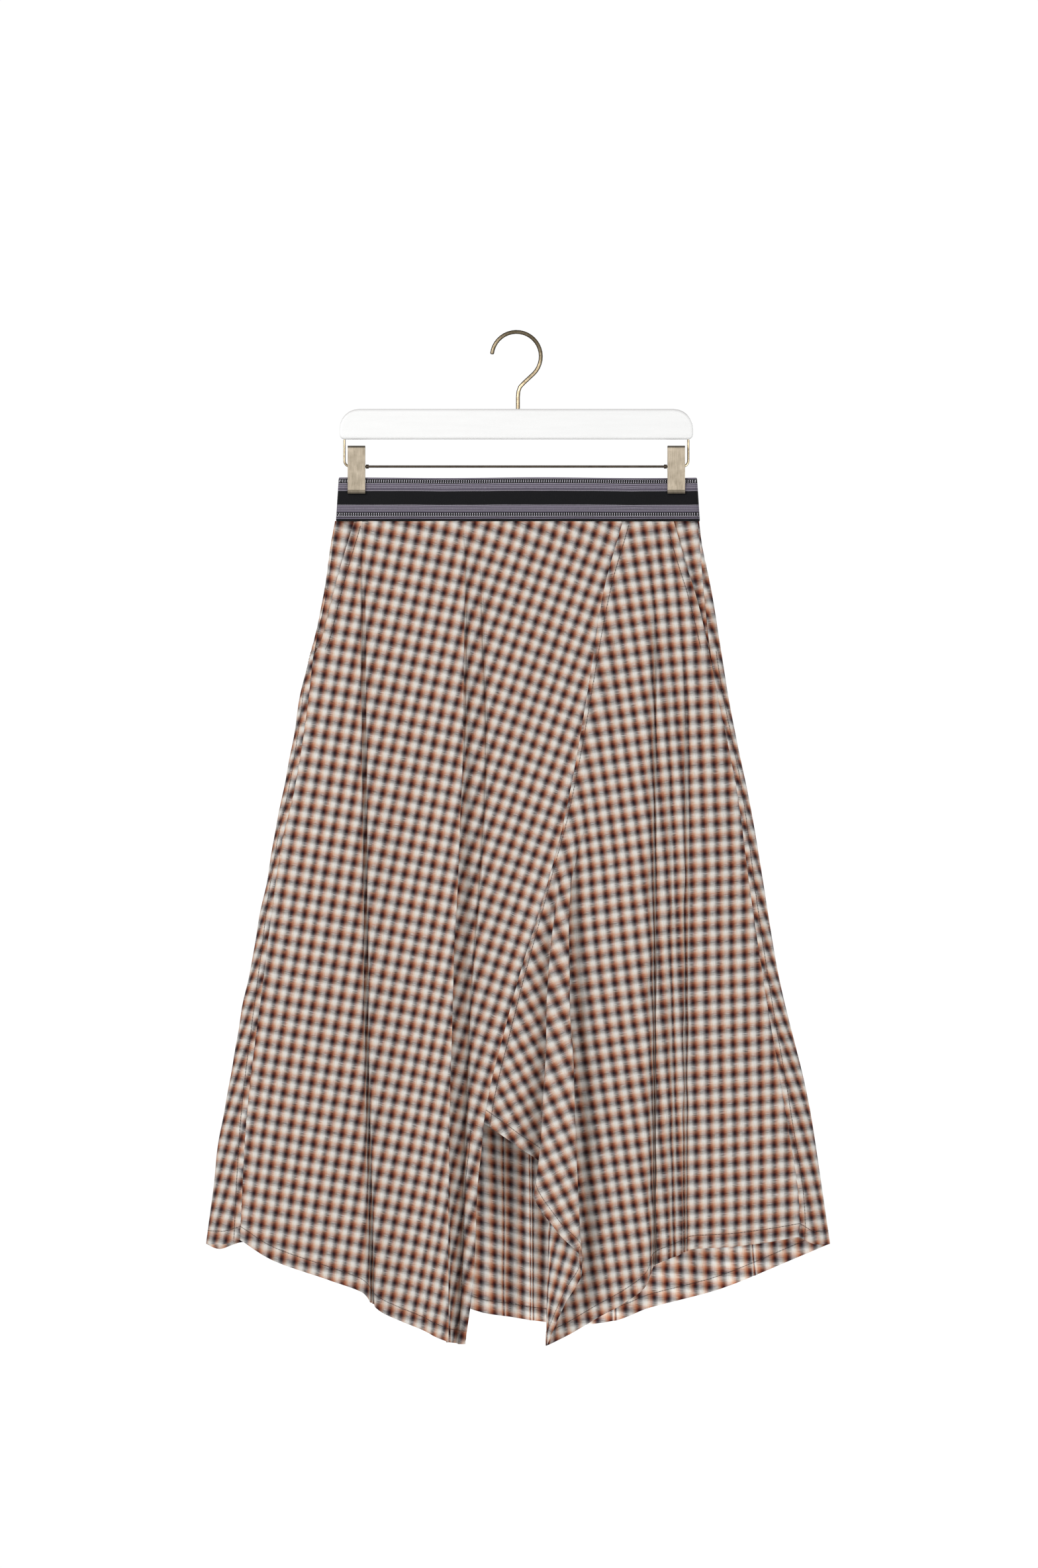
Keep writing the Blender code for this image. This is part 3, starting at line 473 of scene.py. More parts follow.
def cloth_grid(lines, count, widest, pleats=()):
    """Rows of points across a panel, softly curved from each key line to the next.

    Columns stand close together at the side edges and at pleats. It also gives the key line,
    with its fraction, that each column lies at."""
    rows = np.linspace(0, 1, count)
    keys = np.array([line_points(line, rows) for line in lines])
    open_wide = np.linalg.norm(np.diff(keys, axis=0), axis=2).max(axis=1)
    last = len(lines) - 1
    pieces = np.maximum(2, np.ceil(open_wide / widest).astype(int))
    shares = [k + m / n for k, n in enumerate(pieces) for m in range(n)] + [last]
    for pleat in (0, last, *pleats):
        for way in (-1, 1):
            scale = open_wide[int(np.clip(pleat - (way < 0) * 1e-6, 0, last - 1))]
            shares += [pleat + way * beside / scale for beside in BESIDE_PLEAT]
    shares = np.array(sorted(share for share in shares if 0 <= share <= last))
    wide = np.diff(shares) * open_wide[np.clip(shares[:-1].astype(int), 0, last - 1)]
    shares = shares[np.concatenate([[True], wide > CLOSEST_COLUMNS])]
    shares[-1] = last
    grid = []
    for row in range(count):
        chord = np.linalg.norm(np.diff(keys[:, row], axis=0), axis=1)
        knots = np.concatenate([[0], np.cumsum(np.sqrt(chord))])
        at = np.interp(shares, np.arange(len(knots)), knots)
        grid.append(smooth(knots, keys[:, row], at))
    return np.array(grid), shares


def unit(vectors):
    return vectors / np.maximum(np.linalg.norm(vectors, axis=-1, keepdims=True), 1e-9)


def cloth_normals(grid):
    down = np.gradient(grid, axis=0)
    across = np.gradient(grid, axis=1)
    return unit(np.cross(down, across))


def pleat_steps(shares, first, drop, pleats):
    """Relief of the hard creases, and the cloth that each hides on its way down."""
    relief = np.zeros(drop.shape)
    hidden = np.zeros(drop.shape)
    for line, top, width, depth, swallowed in pleats:
        column = np.interp(line, shares, np.arange(len(shares)))
        low = int(column)
        high = min(low + 1, len(shares) - 1)
        centre = first[:, low] + (first[:, high] - first[:, low]) * (column - low)
        beside = (first - centre[:, None]) / width
        begun = np.clip((drop - top) / PLEAT_RUN_IN, 0, 1)
        relief -= depth * begun * np.exp(-beside**2)
        grown = np.clip((drop - top) / (HEM_FREE - top), 0, 1)
        hidden += swallowed * grown * 0.5 * (1 + np.tanh(beside))
    return relief, hidden


def soften(field, times):
    """Average each value with its neighbours, so that fine relief has no sharp corners."""
    for _ in range(times):
        padded = np.pad(field, 1, mode="edge")
        field = (
            padded[1:-1, 1:-1] * 4 + padded[:-2, 1:-1] + padded[2:, 1:-1]
            + padded[1:-1, :-2] + padded[1:-1, 2:]
        ) / 8
    return field


def crease_relief(grid, creases):
    relief = np.zeros(grid.shape[:2])
    x = grid[..., 0]
    drop = -grid[..., 2]
    for top_x, top, foot_x, foot, width, height in creases:
        share = (drop - top) / (foot - top)
        line = top_x + (foot_x - top_x) * share
        fade = np.sin(np.pi * np.clip(share, 0, 1)) ** 0.8
        relief += height * fade * np.exp(-(((x - line) / width) ** 2))
    return relief


def ripple_relief(across, drop):
    relief = np.zeros(across.shape)
    for wide, tall, start, height in RIPPLES:
        relief += height * np.sin(2 * np.pi * (across / wide + drop / tall) + start)
    return relief * np.clip((drop - WAIST) / RIPPLE_RUN_IN, 0, 1)


def pucker(distance, along, height=0.16):
    """The small ripples that sewing draws up beside a seam."""
    turns = 2 * np.pi * along / PUCKER_PITCH
    wave = np.sin(turns) + 0.5 * np.sin(turns / 1.7 + 1)
    return height * wave * np.exp(-((distance / PUCKER_REACH) ** 2))


def run_lengths(points):
    """How far each point or row of points lies from the first, along the way through all of them."""
    steps = np.linalg.norm(np.diff(points, axis=0), axis=-1)
    return np.concatenate([np.zeros_like(steps[:1]), np.cumsum(steps, axis=0)])


def edge_distances(grid):
    """Distances along the cloth from the first edge, the last edge and the hem, and down from the waist."""
    first = run_lengths(grid.transpose(1, 0, 2)).T
    fallen = run_lengths(grid)
    return first, first[:, -1:] - first, fallen[-1:] - fallen, fallen


def grain_angles(table, shares, grid):
    """Warp lean and weft slope over a panel, blended between the rows of its grain table."""
    lines = sorted({row[0] for row in table})
    drop = -grid[..., 2]
    fields = []
    for column in (2, 3):
        bands = []
        for line in lines:
            rows = sorted(row for row in table if row[0] == line)
            bands.append(np.interp(drop, [r[1] for r in rows], [r[column] for r in rows]))
        bands = np.array(bands)
        place = np.interp(shares, lines, np.arange(len(lines)))
        low = np.clip(place.astype(int), 0, len(lines) - 2)
        part = place - low
        column_index = np.arange(len(shares))
        field = (
            bands[low, :, column_index] * (1 - part)[:, None]
            + bands[low + 1, :, column_index] * part[:, None]
        ).T
        fields.append(np.radians(soften(field, 6)))
    return fields


def halfway(values, axis):
    """The means of neighbours along one axis."""
    values = np.moveaxis(values, axis, 0)
    return np.moveaxis((values[1:] + values[:-1]) / 2, 0, axis)


def flatten(grid, normals, lean, slope, start, hidden):
    """Places in the flat cloth, in metres across and down, that follow the grain over the panel.

    The places come as near as they can to the steps that the grain asks for between neighbours."""
    level = unit(np.cross((0, 0, 1), normals))
    fall = unit(np.cross(level, normals))
    weft = level * np.cos(slope)[..., None] + fall * np.sin(slope)[..., None]
    warp = fall * np.cos(lean)[..., None] - level * np.sin(lean)[..., None]
    span = np.maximum(np.cos(slope - lean)[..., None], LEAST_COSINE)
    ways = []
    for thread_way, other in ((weft, warp), (warp, weft)):
        way = unit(np.cross(normals, other))
        way *= np.sign((way * thread_way).sum(-1, keepdims=True))
        ways.append(way / span)
    ways = np.stack(ways, axis=-1)
    step_u = np.diff(grid, axis=1)
    step_v = np.diff(grid, axis=0)
    wish_u = (step_u[..., None] * halfway(ways, 1)).sum(-2)
    wish_v = (step_v[..., None] * halfway(ways, 0)).sum(-2)
    wish_u[..., 0] += np.diff(hidden, axis=1)
    wish_v[..., 0] += np.diff(hidden, axis=0)
    size_u = np.maximum(np.linalg.norm(step_u, axis=-1), LEAST_STEP)
    size_v = np.maximum(np.linalg.norm(step_v, axis=-1), LEAST_STEP)
    tall = np.pad(halfway(size_v, 0), ((1, 1), (0, 0)), mode="edge")
    wide = np.pad(halfway(size_u, 1), ((0, 0), (1, 1)), mode="edge")
    pull_u = (halfway(tall, 1) / size_u)[..., None]
    pull_v = (halfway(wide, 0) / size_v)[..., None]

    def spread(du, dv):
        total = np.zeros(grid.shape[:2] + (2,))
        total[:, 1:] += pull_u * du
        total[:, :-1] -= pull_u * du
        total[1:] += pull_v * dv
        total[:-1] -= pull_v * dv
        return total

    weight = np.zeros(grid.shape[:2] + (1,))
    weight[:, 1:] += pull_u
    weight[:, :-1] += pull_u
    weight[1:] += pull_v
    weight[:-1] += pull_v
    middle = grid.shape[0] // 2
    place = np.zeros(grid.shape[:2] + (2,))
    place[middle, 1:] = np.cumsum(wish_u[middle], axis=0)
    for row in range(middle, grid.shape[0] - 1):
        place[row + 1] = place[row] + wish_v[row]
    for row in range(middle, 0, -1):
        place[row - 1] = place[row] - wish_v[row - 1]
    left = spread(wish_u, wish_v) - spread(np.diff(place, axis=1), np.diff(place, axis=0))
    ready = left / weight
    aim = ready.copy()
    energy = (left * ready).sum()
    for _ in range(MOST_ROUNDS):
        moved = spread(np.diff(aim, axis=1), np.diff(aim, axis=0))
        step = energy / max((aim * moved).sum(), 1e-20)
        place += step * aim
        left -= step * moved
        ready = left / weight
        new_energy = (left * ready).sum()
        if new_energy < CLOSE_ENOUGH:
            break
        aim = ready + (new_energy / energy) * aim
        energy = new_energy
    place -= place[0, 0]
    return (place + np.asarray(start)) * MM


def make_mesh(name, points, faces, material):
    mesh = bpy.data.meshes.new(name)
    mesh.from_pydata(points, [], faces)
    mesh.update()
    mesh.shade_smooth()
    mesh.materials.append(material)
    made = bpy.data.objects.new(name, mesh)
    bpy.context.scene.collection.objects.link(made)
    return made


def set_place(mesh, values, name="cloth_place"):
    layer = mesh.attributes.new(name, "FLOAT_VECTOR", "POINT")
    layer.data.foreach_set("vector", np.asarray(values, np.float32).ravel())


def shell(name, grid, normals, out, into, place, material, closed=False):
    """A closed thin sheet round a grid, with its place in the flat cloth kept on every point.

    The third value of a place is 1 on the inside of the back and 0 everywhere else; the cloth's material
    paints the inside of the back lighter, as painted light for the light that reaches it through the slit
    and the open hem."""
    rows, columns = grid.shape[:2]
    outer = (grid + normals * np.asarray(out)[..., None]).reshape(-1, 3) * MM
    inner = (grid - normals * np.asarray(into)[..., None]).reshape(-1, 3) * MM
    count = rows * columns
    index = np.arange(count).reshape(rows, columns)
    if closed:
        index = np.concatenate([index, index[:, :1]], axis=1)
    corners = [index[:-1, :-1], index[1:, :-1], index[1:, 1:], index[:-1, 1:]]
    front = np.stack(corners, -1).reshape(-1, 4)
    quads = [front, front[:, [0, 3, 2, 1]] + count]
    edges = [(index[0], False), (index[-1], True)]
    if not closed:
        edges += [(index[:, 0], True), (index[:, -1], False)]
    for edge, flip in edges:
        ring = np.stack([edge[:-1], edge[1:], edge[1:] + count, edge[:-1] + count], -1)
        quads.append(ring[:, ::-1] if flip else ring)
    points = np.concatenate([outer, inner]).tolist()
    made = make_mesh(name, points, np.concatenate(quads).tolist(), material)
    made.data.set_sharp_from_angle(angle=math.radians(60))
    flat = place.reshape(-1, 2)
    outside = np.zeros((count, 1))
    # 1 on the inside of the back, which the cloth's material paints lighter as painted light.
    inside = outside + (name == "back_cloth")
    set_place(made.data, np.concatenate([np.hstack([flat, outside]), np.hstack([flat, inside])]))
    return made


def below(line, drop):
    return tuple(point for point in line if point[0] > drop)


def left_lines():
    side = LEFT_MOUTH + below(LEFT_SEAM, POCKET_FOOT)
    return [side, *LEFT_LINES.values(), DIAGONAL_SEAM + FREE_EDGE]


def right_lines():
    side = RIGHT_MOUTH + below(RIGHT_SEAM, POCKET_FOOT)
    return [DIAGONAL_SEAM, *RIGHT_LINES.values(), side]


def side_lines(column, seam, turn):
    """Key lines round one side, from the front seam past the outline to the back."""
    drops = [row[0] for row in OUTLINE]
    share = np.linspace(0, 1, len(OUTLINE))
    wrap, rim, behind = [], [], []
    for row, s, (seam_x, seam_y) in zip(OUTLINE, share, at_drops(seam, drops)):
        d = row[0]
        x = row[column]
        between = WRAP_SHARE * seam_x + (1 - WRAP_SHARE) * x
        wrap.append((d, between + turn * SEAM_CLEAR, WRAP_FORWARD * seam_y - WRAP_BEHIND))
        rim.append((d, x, -RIM_BEHIND[0] - RIM_BEHIND[1] * s))
        inward = TURN_INWARD[0] + TURN_INWARD[1] * s
        behind.append((d + BEHIND_FALL * s, x - turn * inward, -TURN_BEHIND[0] - TURN_BEHIND[1] * s))
    return wrap, rim, behind


def back_lines():
    lines = []
    for share, hem, depth in BACK_FOLDS:
        line = []
        for at in np.linspace(0, 1, BACK_POINTS):
            drop = WAIST + (hem - WAIST) * at
            low_x, high_x = at_drops(OUTLINE, drop)[0]
            x = low_x + (high_x - low_x) * share
            line.append((drop, x, -BACK_WAIST - (depth - BACK_WAIST) * at**BACK_SPREAD))
        lines.append(line)
    right = side_lines(2, RIGHT_SEAM, turn=1)
    left = side_lines(1, LEFT_SEAM, turn=-1)
    return [RIGHT_SEAM, *right, *lines, *reversed(left), LEFT_SEAM]


def stepped(distance, edge):
    """1 within an allowance beside an edge, and 0 past its sewing line."""
    return np.clip((edge + STEP_BLEND / 2 - distance) / STEP_BLEND, 0, 1)


def panel(word, lines, rows, column, grain, creases, seams, sewn, material):
    """One panel of the skirt as a fine sheet.

    seams is the allowance along each side edge, and sewn is how far in the stitching runs along
    each side edge, and between which drops."""
    pleats = PLEATS[word]
    grid, shares = cloth_grid(lines, rows + 1, column, [row[0] for row in pleats])
    normals = cloth_normals(grid)
    lean, slope = grain_angles(grain, shares, grid)
    first, last, hem, fallen = edge_distances(grid)
    folded, hidden = pleat_steps(shares, first, -grid[..., 2], pleats)
    place = flatten(grid, normals, lean, slope, CHECK_START[word], hidden)
    relief = crease_relief(grid, creases) + ripple_relief(first, -grid[..., 2])
    nearest = np.minimum(np.minimum(first, last), hem)
    relief = soften(relief * np.clip(nearest / EDGE_CALM, 0.15, 1), 2) + folded
    for edge in (first, last):
        relief += pucker(edge, fallen) - SEAM_DIP * np.exp(-((edge / SEAM_DIP_WIDTH) ** 2))
    relief += pucker(hem, first, height=0.2)
    grid = grid + normals * relief[..., None]
    normals = cloth_normals(grid)
    allowance = stepped(first, seams[0]) + stepped(last, seams[1])
    thick_out = CLOTH_OUT + SEAM_EXTRA * allowance
    thick_in = CLOTH_IN + HEM_EXTRA * stepped(hem, HEM_WIDTH)
    made = shell(word + "_cloth", grid, normals, thick_out, thick_in, place, material)
    gaps = [hem - HEM_WIDTH]
    for away, (inset, top, foot) in zip((first, last), sewn):
        beside = away - inset
        outside = (-grid[..., 2] < top) | (-grid[..., 2] > foot)
        gaps.append(np.where(outside, np.sign(beside) * UNSEWN, beside))
    gaps = np.stack(gaps, axis=-1).reshape(-1, 3) * MM
    set_place(made.data, np.concatenate([gaps, gaps]), "seam_gap")
    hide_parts(word + "_panel")
    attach(made, "root")
    return made, {"grid": grid, "normals": normals, "out": thick_out, "into": thick_in,
                  "first": first, "last": last, "hem": hem, "sewn": sewn}


def at_stops(stops, run, rows):
    """Rows of values read off at some stops along a run."""
    return np.stack([np.interp(stops, run, column) for column in rows.T], axis=-1)


def line_at(sheet, edge, distance, inside=False):
    """Points and outward directions on a sheet along a line at a distance from one of its edges."""
    grid, normals, away, lift = sheet["grid"], sheet["normals"], sheet[edge], sheet["out"]
    if inside:
        normals = -normals
        lift = sheet["into"]
    if edge == "hem":
        grid, normals = grid.transpose(1, 0, 2), normals.transpose(1, 0, 2)
        away, lift = away.T, lift.T
    points, ways = [], []
    for row in range(len(grid)):
        order = np.argsort(away[row])
        near = away[row][order]
        if near[-1] < distance:
            continue
        way = unit(at_stops(distance, near, normals[row][order]))
        out = np.interp(distance, near, lift[row][order])
        points.append(at_stops(distance, near, grid[row][order]) + way * out)
        ways.append(way)
    return np.array(points), np.array(ways)


def sewn_lines(sheet):
    """Every stitching line of a panel: along its sides, and along its hem on both faces."""
    lines = [line_at(sheet, "hem", HEM_WIDTH), line_at(sheet, "hem", HEM_WIDTH, inside=True)]
    for edge, (inset, top, foot) in zip(("first", "last"), sheet["sewn"]):
        points, ways = line_at(sheet, edge, inset)
        keep = (-points[:, 2] >= top) & (-points[:, 2] <= foot)
        lines.append((points[keep], ways[keep]))
    return lines


def stitches(name, lines, material):
    """Short raised stitches of thread along each line, closed at both ends."""
    points, faces = [], []
    for line, ways in lines:
        if len(line) < 2:
            continue
        run = run_lengths(line)
        for begin in np.arange(0.4, run[-1] - STITCH_LONG, STITCH_PITCH):
            stops = begin + STITCH_LONG * np.array([ring[0] for ring in STITCH_RINGS])
            centre = at_stops(stops, run, line)
            way = unit(at_stops(stops, run, ways))
            along = unit(centre[-1] - centre[0])
            beside = unit(np.cross(way, along))
            first = len(points)
            for k, (_, size, raised) in enumerate(STITCH_RINGS):
                middle = centre[k] + way[k] * THREAD_RADIUS * raised
                for m in range(STITCH_SIDES):
                    angle = 2 * math.pi * m / STITCH_SIDES
                    offset = way[k] * math.sin(angle) + beside[k] * math.cos(angle)
                    points.append((middle + offset * THREAD_RADIUS * size) * MM)
            last = len(points) - STITCH_SIDES
            for at in range(first, last, STITCH_SIDES):
                above = at + STITCH_SIDES
                for m in range(STITCH_SIDES):
                    n = (m + 1) % STITCH_SIDES
                    faces.append((at + m, at + n, above + n, above + m))
            faces.append(tuple(range(first + STITCH_SIDES - 1, first - 1, -1)))
            faces.append(tuple(range(last, last + STITCH_SIDES)))
    made = make_mesh(name, [tuple(p) for p in points], faces, material)
    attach(made, "root")
    return made


def new_material(name, looks):
    """A material, its node tree and its surface, whose inputs are set to the looks."""
    material = bpy.data.materials.new(name)
    material.use_nodes = True
    surface = material.node_tree.nodes["Principled BSDF"]
    for key, value in looks.items():
        surface.inputs[key].default_value = value
    return material, material.node_tree, surface


def node(tree, kind, values=(), **settings):
    """Add one shader node, join or set its inputs by position or name, and return it."""
    made = tree.nodes.new("ShaderNode" + kind)
    for key, value in settings.items():
        setattr(made, key, value)
    for key, value in dict(values).items():
        if isinstance(value, bpy.types.NodeSocket):
            tree.links.new(value, made.inputs[key])
        else:
            made.inputs[key].default_value = value
    return made


def maths(tree, operation, first, second=0.0, third=0.0):
    return node(tree, "Math", {0: first, 1: second, 2: third}, operation=operation).outputs[0]


def scaled(tree, value, factor, offset=0.0):
    return maths(tree, "MULTIPLY_ADD", value, factor, offset)


def parts_of(tree, vector):
    return node(tree, "SeparateXYZ", {0: vector}).outputs


def attribute(tree, name):
    return node(tree, "Attribute", attribute_name=name).outputs["Vector"]


def object_place(tree):
    return node(tree, "TexCoord").outputs["Object"]


def stretched(tree, scale):
    return node(tree, "Mapping", {"Vector": object_place(tree), "Scale": scale}).outputs[0]


def facing(tree):
    """Which way the surface faces, as its X, Y and Z."""
    return parts_of(tree, node(tree, "NewGeometry").outputs["Normal"])


def noise(tree, vector, scale=1.0, detail=2.0):
    return node(tree, "TexNoise", {"Vector": vector, "Scale": scale, "Detail": detail}).outputs[0]


def ramp(tree, value, stops):
    made = node(tree, "ValToRGB", {0: value})
    elements = made.color_ramp.elements
    while len(elements) < len(stops):
        elements.new(0.5)
    for element, (place, *colour) in zip(elements, stops):
        element.position = place
        element.color = (*colour, 1)
    return made.outputs[0]


def mix_colour(tree, factor, first, second, way="MIX"):
    made = node(tree, "Mix", {0: factor, 6: first, 7: second}, data_type="RGBA", blend_type=way)
    return made.outputs[2]


def shaded(tree, colour, light):
    """A colour times a light that is the same for red, green and blue."""
    grey = node(tree, "CombineColor", {0: light, 1: light, 2: light})
    return mix_colour(tree, 1.0, colour, grey.outputs[0], "MULTIPLY")


def toned(tree, colour, value, tones):
    """A colour times the tone that a value picks from a run of tones."""
    picked = ramp(tree, value, [(at, tone, tone, tone) for at, tone in tones])
    return mix_colour(tree, 1.0, colour, picked, "MULTIPLY")


def cover(tree, surface, colour, height, strength, depth):
    """Give a surface its colour and its relief, whose depth is in metres."""
    tree.links.new(colour, surface.inputs["Base Color"])
    bump = node(tree, "Bump", {"Height": height, "Strength": strength, "Distance": depth})
    tree.links.new(bump.outputs[0], surface.inputs["Normal"])


def streaks(tree, across, down, fine, detail=2.0):
    """Noise drawn out along the threads, which is as fine across and down as the two values of fine."""
    vector = node(tree, "CombineXYZ", {0: scaled(tree, across, fine[0]), 1: scaled(tree, down, fine[1])})
    return noise(tree, vector.outputs[0], detail=detail)


def sewn_groove(tree):
    """1 in the thin furrow that the thread draws along each stitching line, and 0 beside it."""
    total = 0.0
    for gap in parts_of(tree, attribute(tree, "seam_gap")):
        furrow = scaled(tree, maths(tree, "ABSOLUTE", gap), -1 / (FURROW_HALF * MM), 1.0)
        total = maths(tree, "MAXIMUM", total, furrow)
    return total


def check_cloth():
    """Matt cotton whose warp and weft colours are blended by its slubs, with painted shade in the sewn
    furrows and painted light on the inside of the back.
    """
    material, tree, surface = new_material("check_cloth", {
        "Roughness": 0.82, "Sheen Weight": 0.05, "Sheen Roughness": 0.5, "Specular IOR Level": 0.08})
    # side is 1 on the inside of the back, which is painted lighter below as painted light.
    across, down, side = parts_of(tree, attribute(tree, "cloth_place"))
    drift = scaled(tree, streaks(tree, across, down, WAVER), 0.10, -0.05)
    warp_at = maths(tree, "FRACT", scaled(tree, across, 1000 / CHECK_ACROSS, drift))
    weft_at = maths(tree, "FRACT", scaled(tree, down, 1000 / CHECK_DOWN, drift))
    slub = streaks(tree, across, down, SLUBS, detail=3.0)
    fine_warp = streaks(tree, across, down, FINE_WARP, detail=3.0)
    over = scaled(tree, slub, 1.1, -0.09)
    over = maths(tree, "MINIMUM", maths(tree, "MAXIMUM", over, 0.0), 1.0)
    woven = mix_colour(tree, over, ramp(tree, warp_at, WARP_COLOURS), ramp(tree, weft_at, WEFT_COLOURS))
    deep = node(tree, "Gamma", {0: woven, 1: MIX_POWER}).outputs[0]
    groove = sewn_groove(tree)
    # Brightness of the cloth: weave tone from the fine warp and the slubs, painted light that makes the
    # inside of the back brighter, and painted shade in the sewn furrows.
    light = scaled(tree, fine_warp, 0.26, 0.51)
    for value, factor, level in ((slub, 0.24, 0.88), (side, 0.75, 1.0), (groove, -0.5, 1.0)):
        light = maths(tree, "MULTIPLY", light, scaled(tree, value, factor, level))
    height = scaled(tree, groove, -1.4, maths(tree, "ADD", slub, fine_warp))
    cover(tree, surface, shaded(tree, deep, light), height, strength=0.35, depth=0.0004)
    return material


def thread():
    material, tree, surface = new_material("thread", {"Roughness": 0.7})
    twist = noise(tree, object_place(tree), 900.0)
    tree.links.new(ramp(tree, twist, THREAD_COLOURS), surface.inputs["Base Color"])
    return material


def band_elastic():
    """Woven elastic with stripes, rows of dots and fine upright ribs."""
    material, tree, surface = new_material("band_elastic", {
        "Roughness": 0.75, "Sheen Weight": 0.03, "Specular IOR Level": 0.08})
    along, height = parts_of(tree, attribute(tree, "cloth_place"))[:2]
    length = scaled(tree, along, 1000.0)
    wander = scaled(tree, streaks(tree, along, height, BAND_WANDER), 1.2, -0.6)
    drop = scaled(tree, height, 1000.0, wander)
    colour = (*BAND_STRIPES[-1][1], 1)
    for end, stripe in reversed(BAND_STRIPES[:-1]):
        above = maths(tree, "LESS_THAN", drop, end)
        colour = mix_colour(tree, above, colour, (*stripe, 1))
    cell = maths(tree, "FRACT", maths(tree, "DIVIDE", length, DOT_PITCH))
    beside = scaled(tree, maths(tree, "SUBTRACT", cell, 0.5), DOT_PITCH)
    for row in DOT_ROWS:
        off = maths(tree, "SUBTRACT", drop, row)
        square = scaled(tree, beside, beside, maths(tree, "MULTIPLY", off, off))
        dot = maths(tree, "LESS_THAN", maths(tree, "SQRT", square), DOT_RADIUS)
        colour = mix_colour(tree, dot, colour, DOT_COLOUR)
    ribs = streaks(tree, along, height, BAND_RIBS)
    rib = maths(tree, "SINE", scaled(tree, length, 2 * math.pi / RIB_PITCH))
    relief = scaled(tree, ribs, 0.8, scaled(tree, rib, 0.2))
    shown = shaded(tree, colour, scaled(tree, ribs, 0.7, 0.62))
    cover(tree, surface, shown, relief, strength=0.4, depth=0.0004)
    return material


def white_paint():
    material, tree, surface = new_material("white_paint", {"Roughness": 0.42})
    grain = noise(tree, stretched(tree, (6, 60, 60)), scale=4.0, detail=4.0)
    # Painted shade on the bar's rounded edges, by which way they face.
    painted_edge_shade = ramp(tree, scaled(tree, facing(tree)["Z"], 0.5, 0.5), EDGE_PAINTED_SHADE)
    colour = mix_colour(tree, 1.0, ramp(tree, grain, PAINT_COLOURS), painted_edge_shade, "MULTIPLY")
    cover(tree, surface, colour, grain, strength=0.08, depth=0.0005)
    return material


def antique_brass(name, stretch, dark, bright, foot, top, height_tones):
    """Brushed metal whose fine scratches run along one axis, with painted light and shade by which way it
    faces, darkest on what faces sideways, up or down, and with tones from the foot drop to the top drop,
    which on the clips are painted highlight and painted shade."""
    material, tree, surface = new_material(name, {"Metallic": 1.0, "Specular Tint": (*GRAZING_TINT, 1)})
    scratch = noise(tree, stretched(tree, stretch), detail=5.0)
    blotch = noise(tree, object_place(tree), scale=140.0)
    both = scaled(tree, scratch, 0.6, scaled(tree, blotch, 0.4))
    colour = ramp(tree, both, ((0.35, *dark), (0.65, *bright)))
    tall = (foot - top) * MM
    rise = scaled(tree, parts_of(tree, object_place(tree))["Z"], 1 / tall, foot * MM / tall)
    # Tones by height: on the clips painted shade at the foot and the top edge and a painted highlight on
    # the lip; the hook darker towards its top.
    colour = toned(tree, colour, rise, height_tones)
    # Painted light and shade by which way the metal faces.
    colour = toned(tree, colour, maths(tree, "ABSOLUTE", facing(tree)["Y"]), FACING_PAINTED_LIGHT)
    tree.links.new(scaled(tree, both, 0.25, 0.2), surface.inputs["Roughness"])
    cover(tree, surface, colour, scratch, strength=0.15, depth=0.0002)
    return material


def pocket_backing(side, mouth, seam, turn, start, material):
    """The cloth that shows in a slanting pocket, from under the mouth to the side seam."""
    word = "pocket_backing_" + side
    drops = np.linspace(WAIST, POCKET_FOOT, POCKET_ROWS)
    at_mouth = at_drops(mouth, drops)
    at_seam = at_drops(seam, drops)
    behind = np.linspace(POCKET_TUCK, POCKET_BEHIND, POCKET_ROWS)
    under = [(d, m[0] - turn * POCKET_UNDERLAP, m[1] - POCKET_BEHIND) for d, m in zip(drops, at_mouth)]
    middle = [(d, m[0], m[1] - POCKET_BEHIND) for d, m in zip(drops, at_mouth)]
    outside = [(d, s[0] - turn * SEAM_CLEAR, s[1] - b) for d, s, b in zip(drops, at_seam, behind)]
    lines = [under, middle, outside][::turn]
    grid, _ = cloth_grid(lines, POCKET_ROWS, COLUMN_FRONT)
    normals = cloth_normals(grid)
    angle = np.radians(np.full(grid.shape[:2], -POCKET_GRAIN * turn))
    place = flatten(grid, normals, angle, angle, start, hidden=np.zeros(grid.shape[:2]))
    made = shell(word + "_cloth", grid, normals, CLOTH_OUT, CLOTH_IN, place, material)
    set_place(made.data, np.full((len(made.data.vertices), 3), UNSEWN * MM), "seam_gap")
    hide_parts(word)
    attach(made, "root")


def band_half_depth(x, drop):
    """How far the band stands from the middle: least where a clip grips it."""
    beside = [max(0.0, abs(x - side * CLIP_X) - CLIP_WIDTH / 2 - 1) for side in (-1, 1)]
    held = sum(math.exp(-((gap / GRIP_WIDTH) ** 2)) for gap in beside)
    grip = min(1.0, max(0.0, (BAND_BOTTOM - drop) / (BAND_BOTTOM - GRIP_DROP)))
    held_share = min(1.0, held) * (0.35 + 0.65 * grip)
    return BAND_OPEN + (BAND_GRIPPED - BAND_OPEN) * held_share


def band_ring(drop, half):
    """Points round the band's middle at one drop: along the front and back, and round both ends."""
    turns = [math.radians(angle) for angle in range(-72, 73, 18)]
    points = []
    for side in (1, -1):
        end_x = BAND_CENTRE + side * half
        radius = band_half_depth(end_x - side * BAND_GRIPPED, drop)
        for share in np.linspace(-1, 1, BAND_STEPS):
            x = BAND_CENTRE + side * share * (half - radius)
            wave = 0.22 * math.sin(x / 23 + drop / 9) + 0.12 * math.sin(x / 9.5 + 1.3)
            points.append((x, -side * (band_half_depth(x, drop) + wave * 0.5), -drop))
        for turn in turns:
            x = end_x - side * radius * (1 - math.cos(turn))
            points.append((x, side * radius * math.sin(turn), -drop))
    return points


